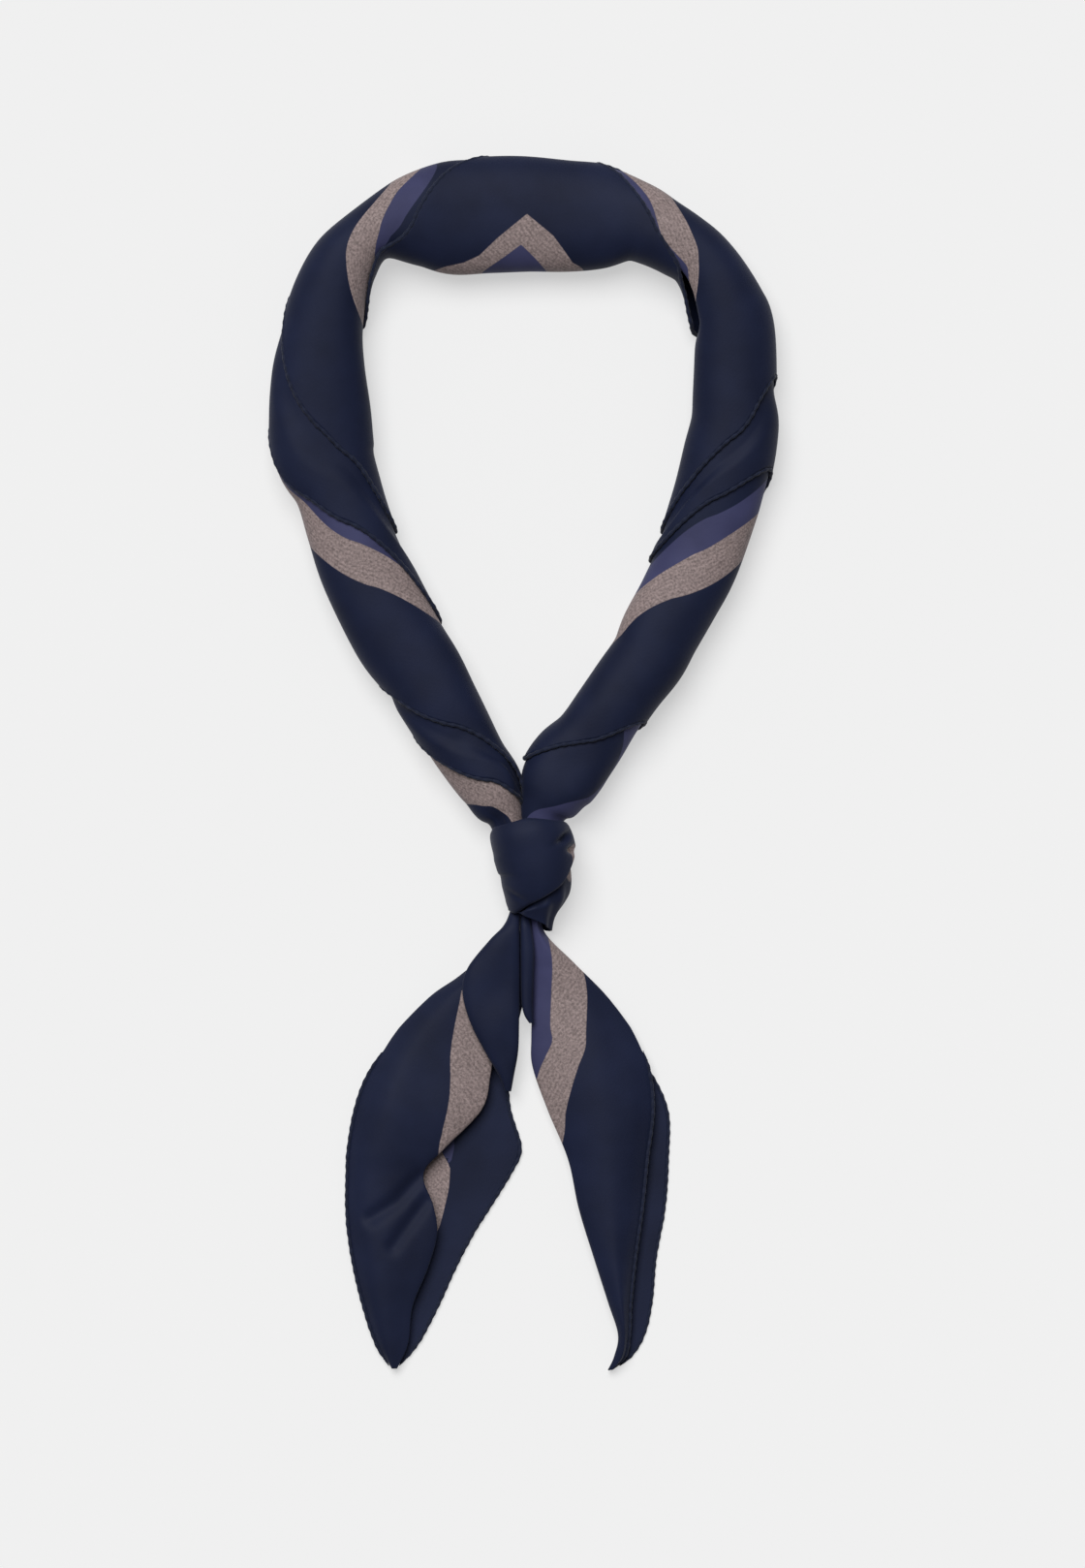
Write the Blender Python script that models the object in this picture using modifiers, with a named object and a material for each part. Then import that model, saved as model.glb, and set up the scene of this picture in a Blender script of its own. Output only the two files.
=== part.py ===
"""A square silk neckerchief, rolled on the bias and tied in one knot, as it lies on a table.

The roll is a chain of turns. Each turn is a tube of cloth that widens to a slanted mouth with a rolled hem,
and the next turn comes out of that mouth. The knot is two more turns, and each tail is a folded sheet.
Metres, +Z up, the origin on the table under the middle of the whole piece, the tails towards -Y.
"""

import bisect
import math
from collections import namedtuple

import bmesh
import bpy
from mathutils import Vector

# Driving sizes
LOOP_WIDTH = 0.158  # outer width of the neck loop
LOOP_LENGTH = 0.2064  # from the back of the loop to the top of the knot
ROLL_WIDTH = 0.032  # the roll where it is full
ROLL_HEIGHT = 0.019
KNOT_WIDTH = 0.0267
KNOT_LENGTH = 0.0345
KNOT_HEIGHT = 0.0235
TAIL_SPAN = 0.0558  # the left tail at its widest
TAIL_LENGTH = 0.1419  # from inside the knot's lower mouth to a tip
TAIL_HEIGHT = 0.0085  # of the crest of a tail's fold
TAIL_START = 0.0276  # how far below the top of the knot the tails are counted from
LEFT_RISE = 0.0028  # how far a tail lifts off the table to pass through the knot
RIGHT_RISE = 0.0014
PLEAT_HEIGHT = 0.0125  # of the pleats above the table
PLEAT_DEPTH = 0.003
PLEAT_STEEPNESS = 1.5  # the most that a pleat is deep, as a share of half its width
LEFT_NEAR_RISE = 0.0  # how high the near hem of a tail is, as a share of its crest
RIGHT_NEAR_RISE = 0.3

# Cloth and clearances
CLOTH = 0.001
LAYER_GAP = 0.0005
HEM_DIAMETER = 0.0016
HEM_GAP = 0.0004
TABLE_GAP = 0.0002  # under the sheets
HEM_START = 0.3  # the share of a tail's length from which its hems show
HEM_END = 0.94
LAYER = CLOTH + LAYER_GAP
TUCK_IN = 0.0065  # how far a turn reaches back under the one before it
HEM_ROOM = 0.0055  # how far a turn runs on under the hem before it rises
TABLE_LIFT = HEM_DIAMETER + HEM_GAP - LAYER  # a hem under the roll touches the table

# How finely the cloth is faceted
RING_SIDES = 18
RING_STEP = 0.011
PATH_SAMPLES = 12
SHEET_ROWS = 19

# Section shape
SQUARENESS = 2.3  # 2 is an ellipse, more is squarer
SEAT_SHARE = 0.8  # how much of the lower half height is left above the flat underside
EDGE_STEP = 0.12  # shares of a tail's crest: how much higher its near edge is than its hem, and at least how high
EDGE_LEAST = 0.30
MIDWAY = (0.45, 0.82)  # from a tail's near edge to its crest: the share across, and the share of the height
PAST_CREST = (0.62, 0.35)  # from the crest to the fold: the same two
BEHIND_FOLD = (0.30, 0.40)  # from the fold to the tuck: the same two
TUCK_HEIGHT = 0.35  # of what is behind the fold
FAR_MIDDLE = 0.55  # the share of the way from the tuck to the far hem
LIFT_START, LIFT_RUN = 0.03, 0.09  # the shares of a tail's length over which it comes down onto the table
INNER_ROOM = 0.6  # how much more room a hem has where the mouth runs back along the loop's inner side
FULL_TUCK = 0.6  # the most of the cloth between two mouths that a turn reaches back
STEEP_LAYER = 1.47  # times the layer, where the roll narrows fast into the knot
KNOT_STEPS = ((0.86, 0.94), (0.99, 1.02))  # shares of an arm's length where it rises over the knot's two walls
SETTLED_SHARE = 0.55  # the share of a turn's length over which it rises to full width

# Finishes
NAVY = (0.018, 0.024, 0.052)
HEM_NAVY = (0.012, 0.015, 0.032)
CLOTH_ROUGHNESS = 0.45
HEM_ROUGHNESS = 0.6

Station = namedtuple("Station", "across along width height")
Mouth = namedtuple("Mouth", "name outer inner bow skew")
LeafRow = namedtuple("LeafRow", "along hem edge crest fold tuck far crest_height fold_height")
PleatRow = namedtuple("PleatRow", "along left right height")

# The roll from the back of the neck to inside the knot.
# Across is a share of half LOOP_WIDTH, along of LOOP_LENGTH, width of ROLL_WIDTH and height of ROLL_HEIGHT.
LEFT_ARM = [
    Station(-0.133, 0.086, 1.115, 0.86),
    Station(-0.296, 0.086, 1.050, 0.88),
    Station(-0.448, 0.096, 0.843, 0.95),
    Station(-0.592, 0.115, 0.581, 1.00),
    Station(-0.691, 0.154, 0.656, 1.00),
    Station(-0.748, 0.201, 0.731, 1.00),
    Station(-0.782, 0.259, 0.815, 1.00),
    Station(-0.796, 0.317, 0.909, 1.00),
    Station(-0.794, 0.382, 0.993, 1.00),
    Station(-0.782, 0.448, 1.003, 1.00),
    Station(-0.729, 0.499, 0.900, 1.00),
    Station(-0.680, 0.557, 0.843, 1.00),
    Station(-0.600, 0.625, 0.890, 1.00),
    Station(-0.482, 0.717, 0.918, 1.00),
    Station(-0.387, 0.770, 0.825, 1.00),
    Station(-0.319, 0.823, 0.740, 1.00),
    Station(-0.243, 0.872, 0.684, 0.96),
    Station(-0.186, 0.906, 0.619, 0.92),
    Station(-0.118, 0.939, 0.525, 0.87),
    Station(-0.078, 0.968, 0.335, 0.78),
    Station(-0.052, 0.992, 0.235, 0.64),
    Station(-0.038, 1.026, 0.205, 0.60),
    Station(-0.010, 1.060, 0.200, 0.62),
    Station(0.010, 1.094, 0.190, 0.58),
]
BACK = Station(0.019, 0.0865, 1.115, 0.85)
RIGHT_ARM = [
    Station(0.171, 0.089, 1.078, 0.86),
    Station(0.330, 0.090, 0.993, 0.88),
    Station(0.448, 0.097, 0.806, 0.94),
    Station(0.532, 0.112, 0.712, 1.00),
    Station(0.619, 0.131, 0.665, 1.00),
    Station(0.691, 0.151, 0.637, 1.00),
    Station(0.748, 0.182, 0.684, 1.00),
    Station(0.792, 0.222, 0.769, 1.00),
    Station(0.818, 0.260, 0.815, 1.00),
    Station(0.832, 0.353, 0.797, 1.00),
    Station(0.830, 0.400, 0.853, 1.00),
    Station(0.809, 0.446, 0.890, 1.00),
    Station(0.779, 0.496, 0.862, 1.00),
    Station(0.748, 0.532, 0.862, 1.00),
    Station(0.668, 0.609, 0.843, 1.00),
    Station(0.611, 0.663, 0.787, 1.00),
    Station(0.547, 0.711, 0.750, 1.00),
    Station(0.490, 0.751, 0.750, 1.00),
    Station(0.414, 0.791, 0.722, 1.00),
    Station(0.338, 0.831, 0.703, 1.00),
    Station(0.254, 0.874, 0.731, 0.96),
    Station(0.190, 0.906, 0.731, 0.92),
    Station(0.133, 0.936, 0.665, 0.87),
    Station(0.098, 0.962, 0.430, 0.78),
    Station(0.072, 0.988, 0.280, 0.64),
    Station(0.066, 1.026, 0.250, 0.60),
    Station(0.080, 1.060, 0.240, 0.62),
    Station(0.104, 1.088, 0.210, 0.58),
]
INSIDE_KNOT = 2  # the stations at the end of each arm that lie past the knot's upper mouth

# The knot. Across and width are shares of KNOT_WIDTH, along of KNOT_LENGTH and height of KNOT_HEIGHT.
KNOT = [
    Station(0.045, -0.045, 0.910, 0.94),
    Station(0.078, 0.070, 0.966, 1.00),
    Station(0.112, 0.226, 0.989, 1.00),
    Station(0.146, 0.435, 0.900, 0.97),
    Station(0.146, 0.609, 0.787, 0.88),
    Station(0.101, 0.826, 0.575, 0.67),
    Station(0.095, 1.040, 0.480, 0.55),
]

# Where each hem crosses the outer and the inner side of the roll, as shares of the arm's length. Bow moves it on
# along the roll's top and back underneath, and skew bends it into an S.
LEFT_MOUTHS = [
    Mouth("left_turn_1", 0.341, 0.558, 0.000, 0.010),
    Mouth("left_turn_2", 0.467, 0.678, -0.008, 0.016),
    Mouth("left_turn_3", 0.762, 0.925, 0.000, 0.006),
    Mouth("left_turn_4", 0.824, 0.965, 0.000, 0.000),
    Mouth("left_turn_5", 1.055, 1.055, 0.000, 0.000),
]
RIGHT_MOUTHS = [
    Mouth("right_turn_1", 0.370, 0.574, -0.022, 0.004),
    Mouth("right_turn_2", 0.472, 0.614, -0.020, 0.000),
    Mouth("right_turn_3", 0.802, 0.929, -0.008, 0.000),
    Mouth("right_turn_4", 1.050, 1.050, 0.000, 0.000),
]
BACK_LEFT = Mouth("back_turn", 0.068, 0.182, 0.000, 0.004)
BACK_RIGHT = Mouth("back_turn", 0.088, 0.256, -0.014, 0.010)
KNOT_MOUTHS = [
    Mouth("knot_top", 0.030, 0.130, 0.000, 0.000),
    Mouth("knot_wrap", 0.810, 0.460, 0.120, 0.000),
    Mouth("knot_under_turn", 0.860, 0.980, -0.020, 0.000),
]

# The left tail's sheet, a section for each row: its hidden left hem, its left edge, the crest of the front
# leaf, the fold at that leaf's right edge, the tuck behind it and the hem of the far leaf.
# Places across are shares of TAIL_SPAN from the loop's middle line, heights are shares of TAIL_HEIGHT.
LEFT_LEAF = [
    LeafRow(-0.018, -0.018, -0.028, -0.018, 0.000, -0.010, 0.002, 0.74, 0.42),
    LeafRow(0.012, -0.030, -0.040, -0.028, -0.012, -0.022, -0.010, 0.74, 0.42),
    LeafRow(0.056, -0.080, -0.110, -0.075, -0.025, -0.060, -0.022, 0.76, 0.46),
    LeafRow(0.135, -0.220, -0.345, -0.230, -0.080, -0.180, -0.030, 0.82, 0.52),
    LeafRow(0.185, -0.420, -0.540, -0.360, -0.120, -0.260, -0.030, 0.82, 0.52),
    LeafRow(0.270, -0.720, -0.755, -0.520, -0.160, -0.330, -0.045, 0.88, 0.52),
    LeafRow(0.355, -0.862, -0.874, -0.620, -0.185, -0.400, -0.075, 0.95, 0.52),
    LeafRow(0.430, -0.938, -0.944, -0.690, -0.235, -0.460, -0.065, 1.00, 0.55),
    LeafRow(0.515, -0.975, -0.982, -0.760, -0.440, -0.600, -0.005, 0.92, 0.58),
    LeafRow(0.570, -0.978, -0.985, -0.790, -0.555, -0.665, -0.085, 0.82, 0.60),
    LeafRow(0.640, -0.975, -0.988, -0.800, -0.500, -0.630, -0.230, 0.78, 0.60),
    LeafRow(0.700, -0.960, -0.978, -0.790, -0.480, -0.610, -0.290, 0.80, 0.58),
    LeafRow(0.775, -0.925, -0.945, -0.770, -0.530, -0.640, -0.380, 0.75, 0.52),
    LeafRow(0.860, -0.870, -0.885, -0.760, -0.615, -0.690, -0.480, 0.62, 0.45),
    LeafRow(0.940, -0.800, -0.812, -0.740, -0.640, -0.690, -0.600, 0.45, 0.36),
    LeafRow(0.995, -0.742, -0.748, -0.728, -0.700, -0.716, -0.690, 0.30, 0.26),
]

# The right tail's sheet: its hidden front hem, its right edge, the crest, the fold at the left edge, the middle
# of the back leaf and the back hem.
RIGHT_LEAF = [
    LeafRow(-0.018, 0.090, 0.098, 0.075, 0.030, 0.055, 0.088, 0.88, 0.50),
    LeafRow(0.042, 0.104, 0.120, 0.085, 0.026, 0.060, 0.100, 0.88, 0.50),
    LeafRow(0.108, 0.215, 0.280, 0.180, 0.030, 0.120, 0.200, 0.90, 0.50),
    LeafRow(0.183, 0.340, 0.435, 0.265, 0.050, 0.190, 0.320, 0.85, 0.45),
    LeafRow(0.270, 0.530, 0.600, 0.340, 0.060, 0.280, 0.510, 0.95, 0.45),
    LeafRow(0.335, 0.680, 0.694, 0.390, 0.075, 0.350, 0.735, 1.00, 0.45),
    LeafRow(0.430, 0.700, 0.710, 0.440, 0.160, 0.420, 0.806, 1.00, 0.45),
    LeafRow(0.538, 0.690, 0.700, 0.470, 0.258, 0.460, 0.812, 0.98, 0.45),
    LeafRow(0.645, 0.662, 0.672, 0.490, 0.320, 0.490, 0.792, 0.95, 0.45),
    LeafRow(0.753, 0.625, 0.634, 0.510, 0.405, 0.510, 0.735, 0.92, 0.45),
    LeafRow(0.850, 0.598, 0.608, 0.540, 0.480, 0.545, 0.705, 0.85, 0.45),
    LeafRow(0.920, 0.592, 0.600, 0.560, 0.520, 0.560, 0.665, 0.70, 0.42),
    LeafRow(0.968, 0.570, 0.578, 0.545, 0.505, 0.540, 0.610, 0.50, 0.32),
    LeafRow(0.998, 0.506, 0.511, 0.495, 0.470, 0.486, 0.518, 0.30, 0.24),
]

# The pleats that lie on the tails below the knot, heights as shares of PLEAT_HEIGHT.
LEFT_PLEAT = [
    PleatRow(0.018, -0.082, -0.022, 1.04),
    PleatRow(0.060, -0.190, -0.022, 1.02),
    PleatRow(0.120, -0.310, -0.022, 0.98),
    PleatRow(0.172, -0.338, -0.022, 0.94),
    PleatRow(0.237, -0.296, -0.024, 0.92),
    PleatRow(0.301, -0.215, -0.030, 0.84),
    PleatRow(0.355, -0.135, -0.050, 0.72),
    PleatRow(0.389, -0.100, -0.066, 0.60),
]
RIGHT_PLEAT = [
    PleatRow(0.018, -0.010, 0.058, 1.02),
    PleatRow(0.060, -0.010, 0.064, 0.97),
    PleatRow(0.120, -0.010, 0.066, 0.90),
    PleatRow(0.200, -0.010, 0.060, 0.84),
    PleatRow(0.239, 0.012, 0.058, 0.78),
]


def spline(rows, index, share):
    """The row at a share of the way from rows[index] to the next, on a Catmull-Rom curve through all the rows."""
    last = len(rows) - 1
    before, start, end, after = (rows[min(max(index + step, 0), last)] for step in (-1, 0, 1, 2))
    cubed, squared = share**3, share**2
    return [
        0.5 * (2 * b + (c - a) * share + (2 * a - 5 * b + 4 * c - d) * squared + (3 * b - a - 3 * c + d) * cubed)
        for a, b, c, d in zip(before, start, end, after)
    ]


def spread(rows, count):
    """count rows, evenly spaced along a Catmull-Rom curve through the given rows."""
    spans = len(rows) - 1
    places = [spans * step / (count - 1) for step in range(count)]
    return [spline(rows, min(int(place), spans - 1), place - min(int(place), spans - 1)) for place in places]


class Roll:
    """A bundle of cloth that follows a line on the table: its middle line, and a flattened section around it."""

    def __init__(self, rows, middle):
        """rows hold x, y, width and height in metres. middle is the row from which lengths are counted."""
        self.samples, self.lengths, self.directions = [], [], []
        for index in range(len(rows) - 1):
            for step in range(PATH_SAMPLES):
                self.samples.append(spline(rows, index, step / PATH_SAMPLES))
        self.samples.append(list(rows[-1]))
        last = len(self.samples) - 1
        length = 0.0
        for number, sample in enumerate(self.samples):
            if number:
                length += math.dist(sample[:2], self.samples[number - 1][:2])
            back, ahead = self.samples[max(number - 3, 0)], self.samples[min(number + 3, last)]
            self.lengths.append(length)
            self.directions.append(Vector((ahead[0] - back[0], ahead[1] - back[1], 0.0)).normalized())
        zero = self.lengths[middle * PATH_SAMPLES]
        self.lengths = [length - zero for length in self.lengths]

    @property
    def arms(self):
        """How long the left and the right arm are, from the middle row to the knot's upper mouth."""
        left, right = INSIDE_KNOT * PATH_SAMPLES, -1 - INSIDE_KNOT * PATH_SAMPLES
        return -self.lengths[left], self.lengths[right]

    def section(self, length):
        """Middle, direction, width and height of the roll at a length."""
        number = min(max(bisect.bisect_right(self.lengths, length) - 1, 0), len(self.samples) - 2)
        here, there = self.samples[number], self.samples[number + 1]
        share = (length - self.lengths[number]) / (self.lengths[number + 1] - self.lengths[number])
        x, y, width, height = (a + (b - a) * share for a, b in zip(here, there))
        direction = self.directions[number].lerp(self.directions[number + 1], share).normalized()
        return Vector((x, y, 0.0)), direction, width, height

    def point(self, length, around, inset, lift=0.0):
        """A point on the cloth. around is a share of the way round, from the roll's left over its top."""
        middle, direction, width, height = self.section(length)
        left = Vector((-direction.y, direction.x, 0.0))
        angle = 2 * math.pi * around
        reach_across = width / 2 - inset
        full_up = height / (1 + SEAT_SHARE)
        reach_up = full_up - inset
        seat = SEAT_SHARE * full_up
        power = 2 / SQUARENESS
        across = reach_across * math.copysign(abs(math.cos(angle)) ** power, math.cos(angle))
        up = reach_up * math.copysign(abs(math.sin(angle)) ** power, math.sin(angle))
        return middle + left * across + Vector((0.0, 0.0, seat + lift + max(up, inset - seat)))


def mouth_length(mouth, around, arm_length):
    """How far along an arm the hem is, at a share of the way round from the arm's outer side over its top."""
    middle, half = (mouth.outer + mouth.inner) / 2, (mouth.outer - mouth.inner) / 2
    angle = 2 * math.pi * around
    bend = mouth.bow * math.sin(angle) + mouth.skew * math.sin(2 * angle)
    return arm_length * (middle + half * math.cos(angle) + bend)


def hem_room(mouths, number, around, arm_length):
    """How far turn number runs on under the hem before it rises, which is more on the loop's inner side."""
    room = HEM_ROOM * (1.0 + INNER_ROOM * (1.0 - math.cos(2 * math.pi * around)))
    visible = mouth_length(mouths[number + 1], around, arm_length) - mouth_length(mouths[number], around, arm_length)
    return min(room, 0.5 * visible)


def inset_of(mouths, number, length, around, arm_length):
    """How far under the roll's outline turn number lies. It starts a layer under the turn before it and rises."""
    if number < 0:
        return 0.0
    start = mouth_length(mouths[number], around, arm_length)
    room = hem_room(mouths, number, around, arm_length)
    layer = LAYER * (STEEP_LAYER if number == len(mouths) - 2 else 1.0)
    if length < start + room / 2:
        return layer + inset_of(mouths, number - 1, length, around, arm_length)
    end = mouth_length(mouths[number + 1], around, arm_length)
    risen = (length - start - room) / max(end - start - room, CLOTH) / SETTLED_SHARE
    return layer * min(1.0, max(0.0, 1.0 - risen))


def material(name, colour, roughness):
    """A cloth finish."""
    made = bpy.data.materials.new(name)
    made.use_nodes = True
    shader = made.node_tree.nodes["Principled BSDF"]
    shader.inputs["Base Color"].default_value = (*colour, 1.0)
    shader.inputs["Roughness"].default_value = roughness
    shader.inputs["Metallic"].default_value = 0.0
    shader.inputs["Sheen Weight"].default_value = 0.3
    return made


def place(obj, group, root, finish):
    """Puts an object into the collection and under the root empty, with its finish."""
    obj.data.materials.append(finish)
    obj.parent = root
    group.objects.link(obj)
    return obj


def cloth(name, rings, closed, flip):
    """A lofted sheet of cloth through rings of points, thickened away from its outer face."""
    mesh = bpy.data.meshes.new(name)
    shape = bmesh.new()
    corners = [[shape.verts.new(point) for point in ring] for ring in rings]
    columns = len(rings[0])
    for ring, following in zip(corners, corners[1:]):
        for column in range(columns if closed else columns - 1):
            after = (column + 1) % columns
            face = [ring[column], ring[after], following[after], following[column]]
            shape.faces.new(face[::-1] if flip else face)
    shape.to_mesh(mesh)
    shape.free()
    mesh.shade_smooth()
    obj = bpy.data.objects.new(name, mesh)
    solid = obj.modifiers.new("Thickness", "SOLIDIFY")
    solid.thickness = CLOTH
    solid.offset = -1.0
    solid.use_even_offset = True
    return obj


def hem(name, points, closed):
    """A rolled hem: a thin tube along points."""
    curve = bpy.data.curves.new(name, "CURVE")
    curve.dimensions = "3D"
    curve.bevel_depth = HEM_DIAMETER / 2
    curve.bevel_resolution = 1
    curve.use_fill_caps = not closed
    line = curve.splines.new("POLY")
    line.points.add(len(points) - 1)
    for slot, point in zip(line.points, points):
        slot.co = (*point, 1.0)
    line.use_cyclic_u = closed
    return bpy.data.objects.new(name, curve)


def turn_rings(stops, point):
    """Rings of points along a turn. Each stop gives a slanted ring's length for a share of the way round."""
    shares = [column / RING_SIDES for column in range(RING_SIDES)]
    places = [[stops[0](around) for around in shares]]
    for stop in stops[1:]:
        places.append([max(stop(around), before + CLOTH) for around, before in zip(shares, places[-1])])
    rings = []
    for start, end in zip(places, places[1:]):
        longest = max(b - a for a, b in zip(start, end))
        steps = math.ceil(longest / RING_STEP)
        for step in range(steps):
            rings.append([point(a + (b - a) * step / steps, around) for a, b, around in zip(start, end, shares)])
    rings.append([point(place_along, around) for place_along, around in zip(places[-1], shares)])
    return rings


def shifted(mouth_at, distance):
    """The ring that lies a distance further along than a mouth."""
    return lambda around: mouth_at(around) + distance


def hem_ring(mouth_at, point, forward):
    """The line of a hem round a mouth, just outside its edge and just above the next turn."""
    radius = HEM_DIAMETER / 2
    inset = LAYER - HEM_GAP - radius
    ahead = forward * radius
    edge = [point(mouth_at(column / RING_SIDES), column / RING_SIDES, inset) for column in range(RING_SIDES)]
    points = []
    for column, here in enumerate(edge):
        around = column / RING_SIDES
        along = point(mouth_at(around) + ahead, around, inset) - here
        beside = (edge[(column + 1) % RING_SIDES] - edge[column - 1]).normalized()
        outward = (along - beside * along.dot(beside)).normalized()
        moved = here + outward * (radius + 1.25 * HEM_GAP)
        moved.z = max(moved.z, radius)
        points.append(moved)
    return points


def loop_roll():
    """The neck loop, from the knot up the left side, round the back and down the right side."""
    stations = LEFT_ARM[::-1] + [BACK] + RIGHT_ARM
    rows = [
        (
            station.across * LOOP_WIDTH / 2,
            -station.along * LOOP_LENGTH,
            station.width * ROLL_WIDTH,
            station.height * ROLL_HEIGHT,
        )
        for station in stations
    ]
    return Roll(rows, len(LEFT_ARM))


def knot_roll():
    """The knot's own line, from its upper mouth down to its lower one."""
    rows = [
        (
            station.across * KNOT_WIDTH,
            -LOOP_LENGTH - station.along * KNOT_LENGTH,
            station.width * KNOT_WIDTH,
            station.height * KNOT_HEIGHT,
        )
        for station in KNOT
    ]
    return Roll(rows, 0)


def loop_lift(length, arm_length):
    """How high the roll's underside is: just off the table, and inside the knot above the knot's two walls."""
    lift = TABLE_LIFT
    for start, end in KNOT_STEPS:
        share = (length / arm_length - start) / (end - start)
        lift += (LAYER + LAYER_GAP) * min(max(share, 0.0), 1.0)
    return lift


def make_arm(roll, side, back, mouths):
    """The turns and hems of one arm of the loop. side is -1 for the left arm and 1 for the right one."""
    arm_length = roll.arms[0 if side < 0 else 1]
    chain = [back] + mouths

    def point(length, around, inset):
        """A point on the arm. around starts at the loop's outer side."""
        return roll.point(side * length, around, inset, loop_lift(length, arm_length))

    def edge(number):
        """The slanted ring where the mouth before turn number lies."""
        return lambda around: mouth_length(chain[number], around, arm_length)

    def tucked(number):
        """The slanted ring where turn number starts, under the turn before it."""

        def length(around):
            mouth = edge(number)(around)
            if number == 0:
                return mouth - TUCK_IN
            free = mouth - edge(number - 1)(around) - hem_room(chain, number - 1, around, arm_length)
            return mouth - min(TUCK_IN, FULL_TUCK * free)

        return length

    made = []
    for number, mouth in enumerate(mouths):

        def on_turn(length, around, number=number):
            return point(length, around, inset_of(chain, number, length, around, arm_length))

        def past_hem(around, number=number):
            return edge(number)(around) + hem_room(chain, number, around, arm_length)

        stops = [tucked(number), edge(number), past_hem, tucked(number + 1), edge(number + 1)]
        if number == 0:
            stops[2:2] = [lambda around: (2 * edge(0)(around) + past_hem(around)) / 3]
        made.append(cloth(mouth.name, turn_rings(stops, on_turn), True, side < 0))
        if number < len(mouths) - 1:
            made.append(hem(mouth.name + "_hem", hem_ring(edge(number + 1), point, 1), True))
    return made


def make_back(roll):
    """The turn round the back of the neck, which has a mouth and a hem at each end."""
    left, right = roll.arms

    def begin(around):
        return -mouth_length(BACK_LEFT, around, left)

    def finish(around):
        return mouth_length(BACK_RIGHT, around, right)

    def point(length, around, inset=0.0):
        return roll.point(length, around, inset, TABLE_LIFT)

    stops = [begin, shifted(begin, TUCK_IN), shifted(finish, -TUCK_IN), finish]
    return [
        cloth("back_turn", turn_rings(stops, point), True, False),
        hem("back_turn_left_hem", hem_ring(begin, point, -1), True),
        hem("back_turn_right_hem", hem_ring(finish, point, 1), True),
    ]


def make_knot(roll):
    """The wrap over the front of the knot, and the turn that comes out from under it."""
    length_all = KNOT_LENGTH
    top, wrap, under = KNOT_MOUTHS

    def mirrored(around):
        return 0.5 - around

    def wrap_start(around):
        return mouth_length(top, mirrored(around), length_all)

    def wrap_end(around):
        return mouth_length(wrap, mirrored(around), length_all)

    def under_start(around):
        return wrap_end(around) - TUCK_IN

    def under_end(around):
        return mouth_length(under, mirrored(around), length_all)

    def on_wrap(length, around, inset=0.0):
        return roll.point(length, around, inset)

    def on_under(length, around):
        risen = (length - wrap_end(around)) / (under_end(around) - wrap_end(around)) / SETTLED_SHARE
        return roll.point(length, around, LAYER * (1.0 if risen < 0 else max(0.0, 1.0 - risen)))

    return [
        cloth("knot_wrap", turn_rings([wrap_start, under_start, wrap_end], on_wrap), True, False),
        cloth("knot_under_turn", turn_rings([under_start, wrap_end, under_end], on_under), True, False),
    ]


def tail_place(across, along, height):
    """A point on a tail, from shares of its span and length and a height in metres."""
    return Vector((across * TAIL_SPAN, -LOOP_LENGTH - TAIL_START - along * TAIL_LENGTH, height))


def leaf_floor(row, rise):
    """How far the lowest cloth of a tail is off the table, which is more where it passes through the knot."""
    return TABLE_GAP + rise * min(max(1.0 - (row.along - LIFT_START) / LIFT_RUN, 0.0), 1.0)


def leaf_section(row, rise, near_rise, pleated):
    """The cloth's line across a tail, from its near hem over the front leaf, back under it and on to its far hem.

    A pleated tail's cloth turns once more at the tuck, so that its far leaf faces up.
    """
    floor = leaf_floor(row, rise)
    near = floor + CLOTH
    crest = near + row.crest_height * TAIL_HEIGHT
    fold = near + row.fold_height * TAIL_HEIGHT
    under = floor + (fold - near) * BEHIND_FOLD[1]
    rest = near if pleated else floor
    first = near + (crest - near) * near_rise
    second = near + (crest - near) * max(EDGE_LEAST, near_rise + EDGE_STEP)
    nearer = row.edge + (row.crest - row.edge) * MIDWAY[0]
    beyond = row.crest + (row.fold - row.crest) * PAST_CREST[0]
    behind = row.fold + (row.tuck - row.fold) * BEHIND_FOLD[0]
    far_side = row.tuck + (row.far - row.tuck) * FAR_MIDDLE
    return [
        (row.hem, first),
        (row.edge, second),
        (nearer, near + (crest - near) * MIDWAY[1]),
        (row.crest, crest),
        (beyond, crest + (fold - crest) * PAST_CREST[1]),
        (row.fold, fold),
        (behind, rest - floor + under),
        (row.tuck, rest + (under - floor) * TUCK_HEIGHT),
        (far_side, rest),
        (row.far, rest),
    ]


def drawn_in(row):
    """A tail's row with its free edges drawn in, to leave room for the rolled hems beside them."""
    room = (HEM_DIAMETER + HEM_GAP) / TAIL_SPAN * min(max((row.along - HEM_START) / 0.05 + 1.0, 0.0), 1.0)
    near = math.copysign(room, row.crest - row.edge)
    far = math.copysign(room, row.tuck - row.far)
    return row._replace(hem=row.hem + near, edge=row.edge + near, far=row.far + far)


def leaf_hem(name, rows, near_rise):
    """The rolled hem beside one free edge of a tail. near_rise is None for the far edge, on the table."""
    far = near_rise is None
    edge, side = [], []
    for row in rows:
        height = 0.0 if far else near_rise * row.crest_height * TAIL_HEIGHT
        edge.append(tail_place(row.far if far else row.edge, row.along, HEM_DIAMETER / 2 + height))
        side.append((row.far - row.tuck) if far else (row.edge - row.crest))
    points = []
    for number in range(1, len(rows) - 1):
        if HEM_START < rows[number].along < HEM_END:
            along = edge[number + 1] - edge[number - 1]
            outward = Vector((-along.y, along.x, 0.0)).normalized() * math.copysign(1.0, side[number])
            points.append(edge[number] + outward * (HEM_DIAMETER / 2 + HEM_GAP))
    return hem(name, points, False)


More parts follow.
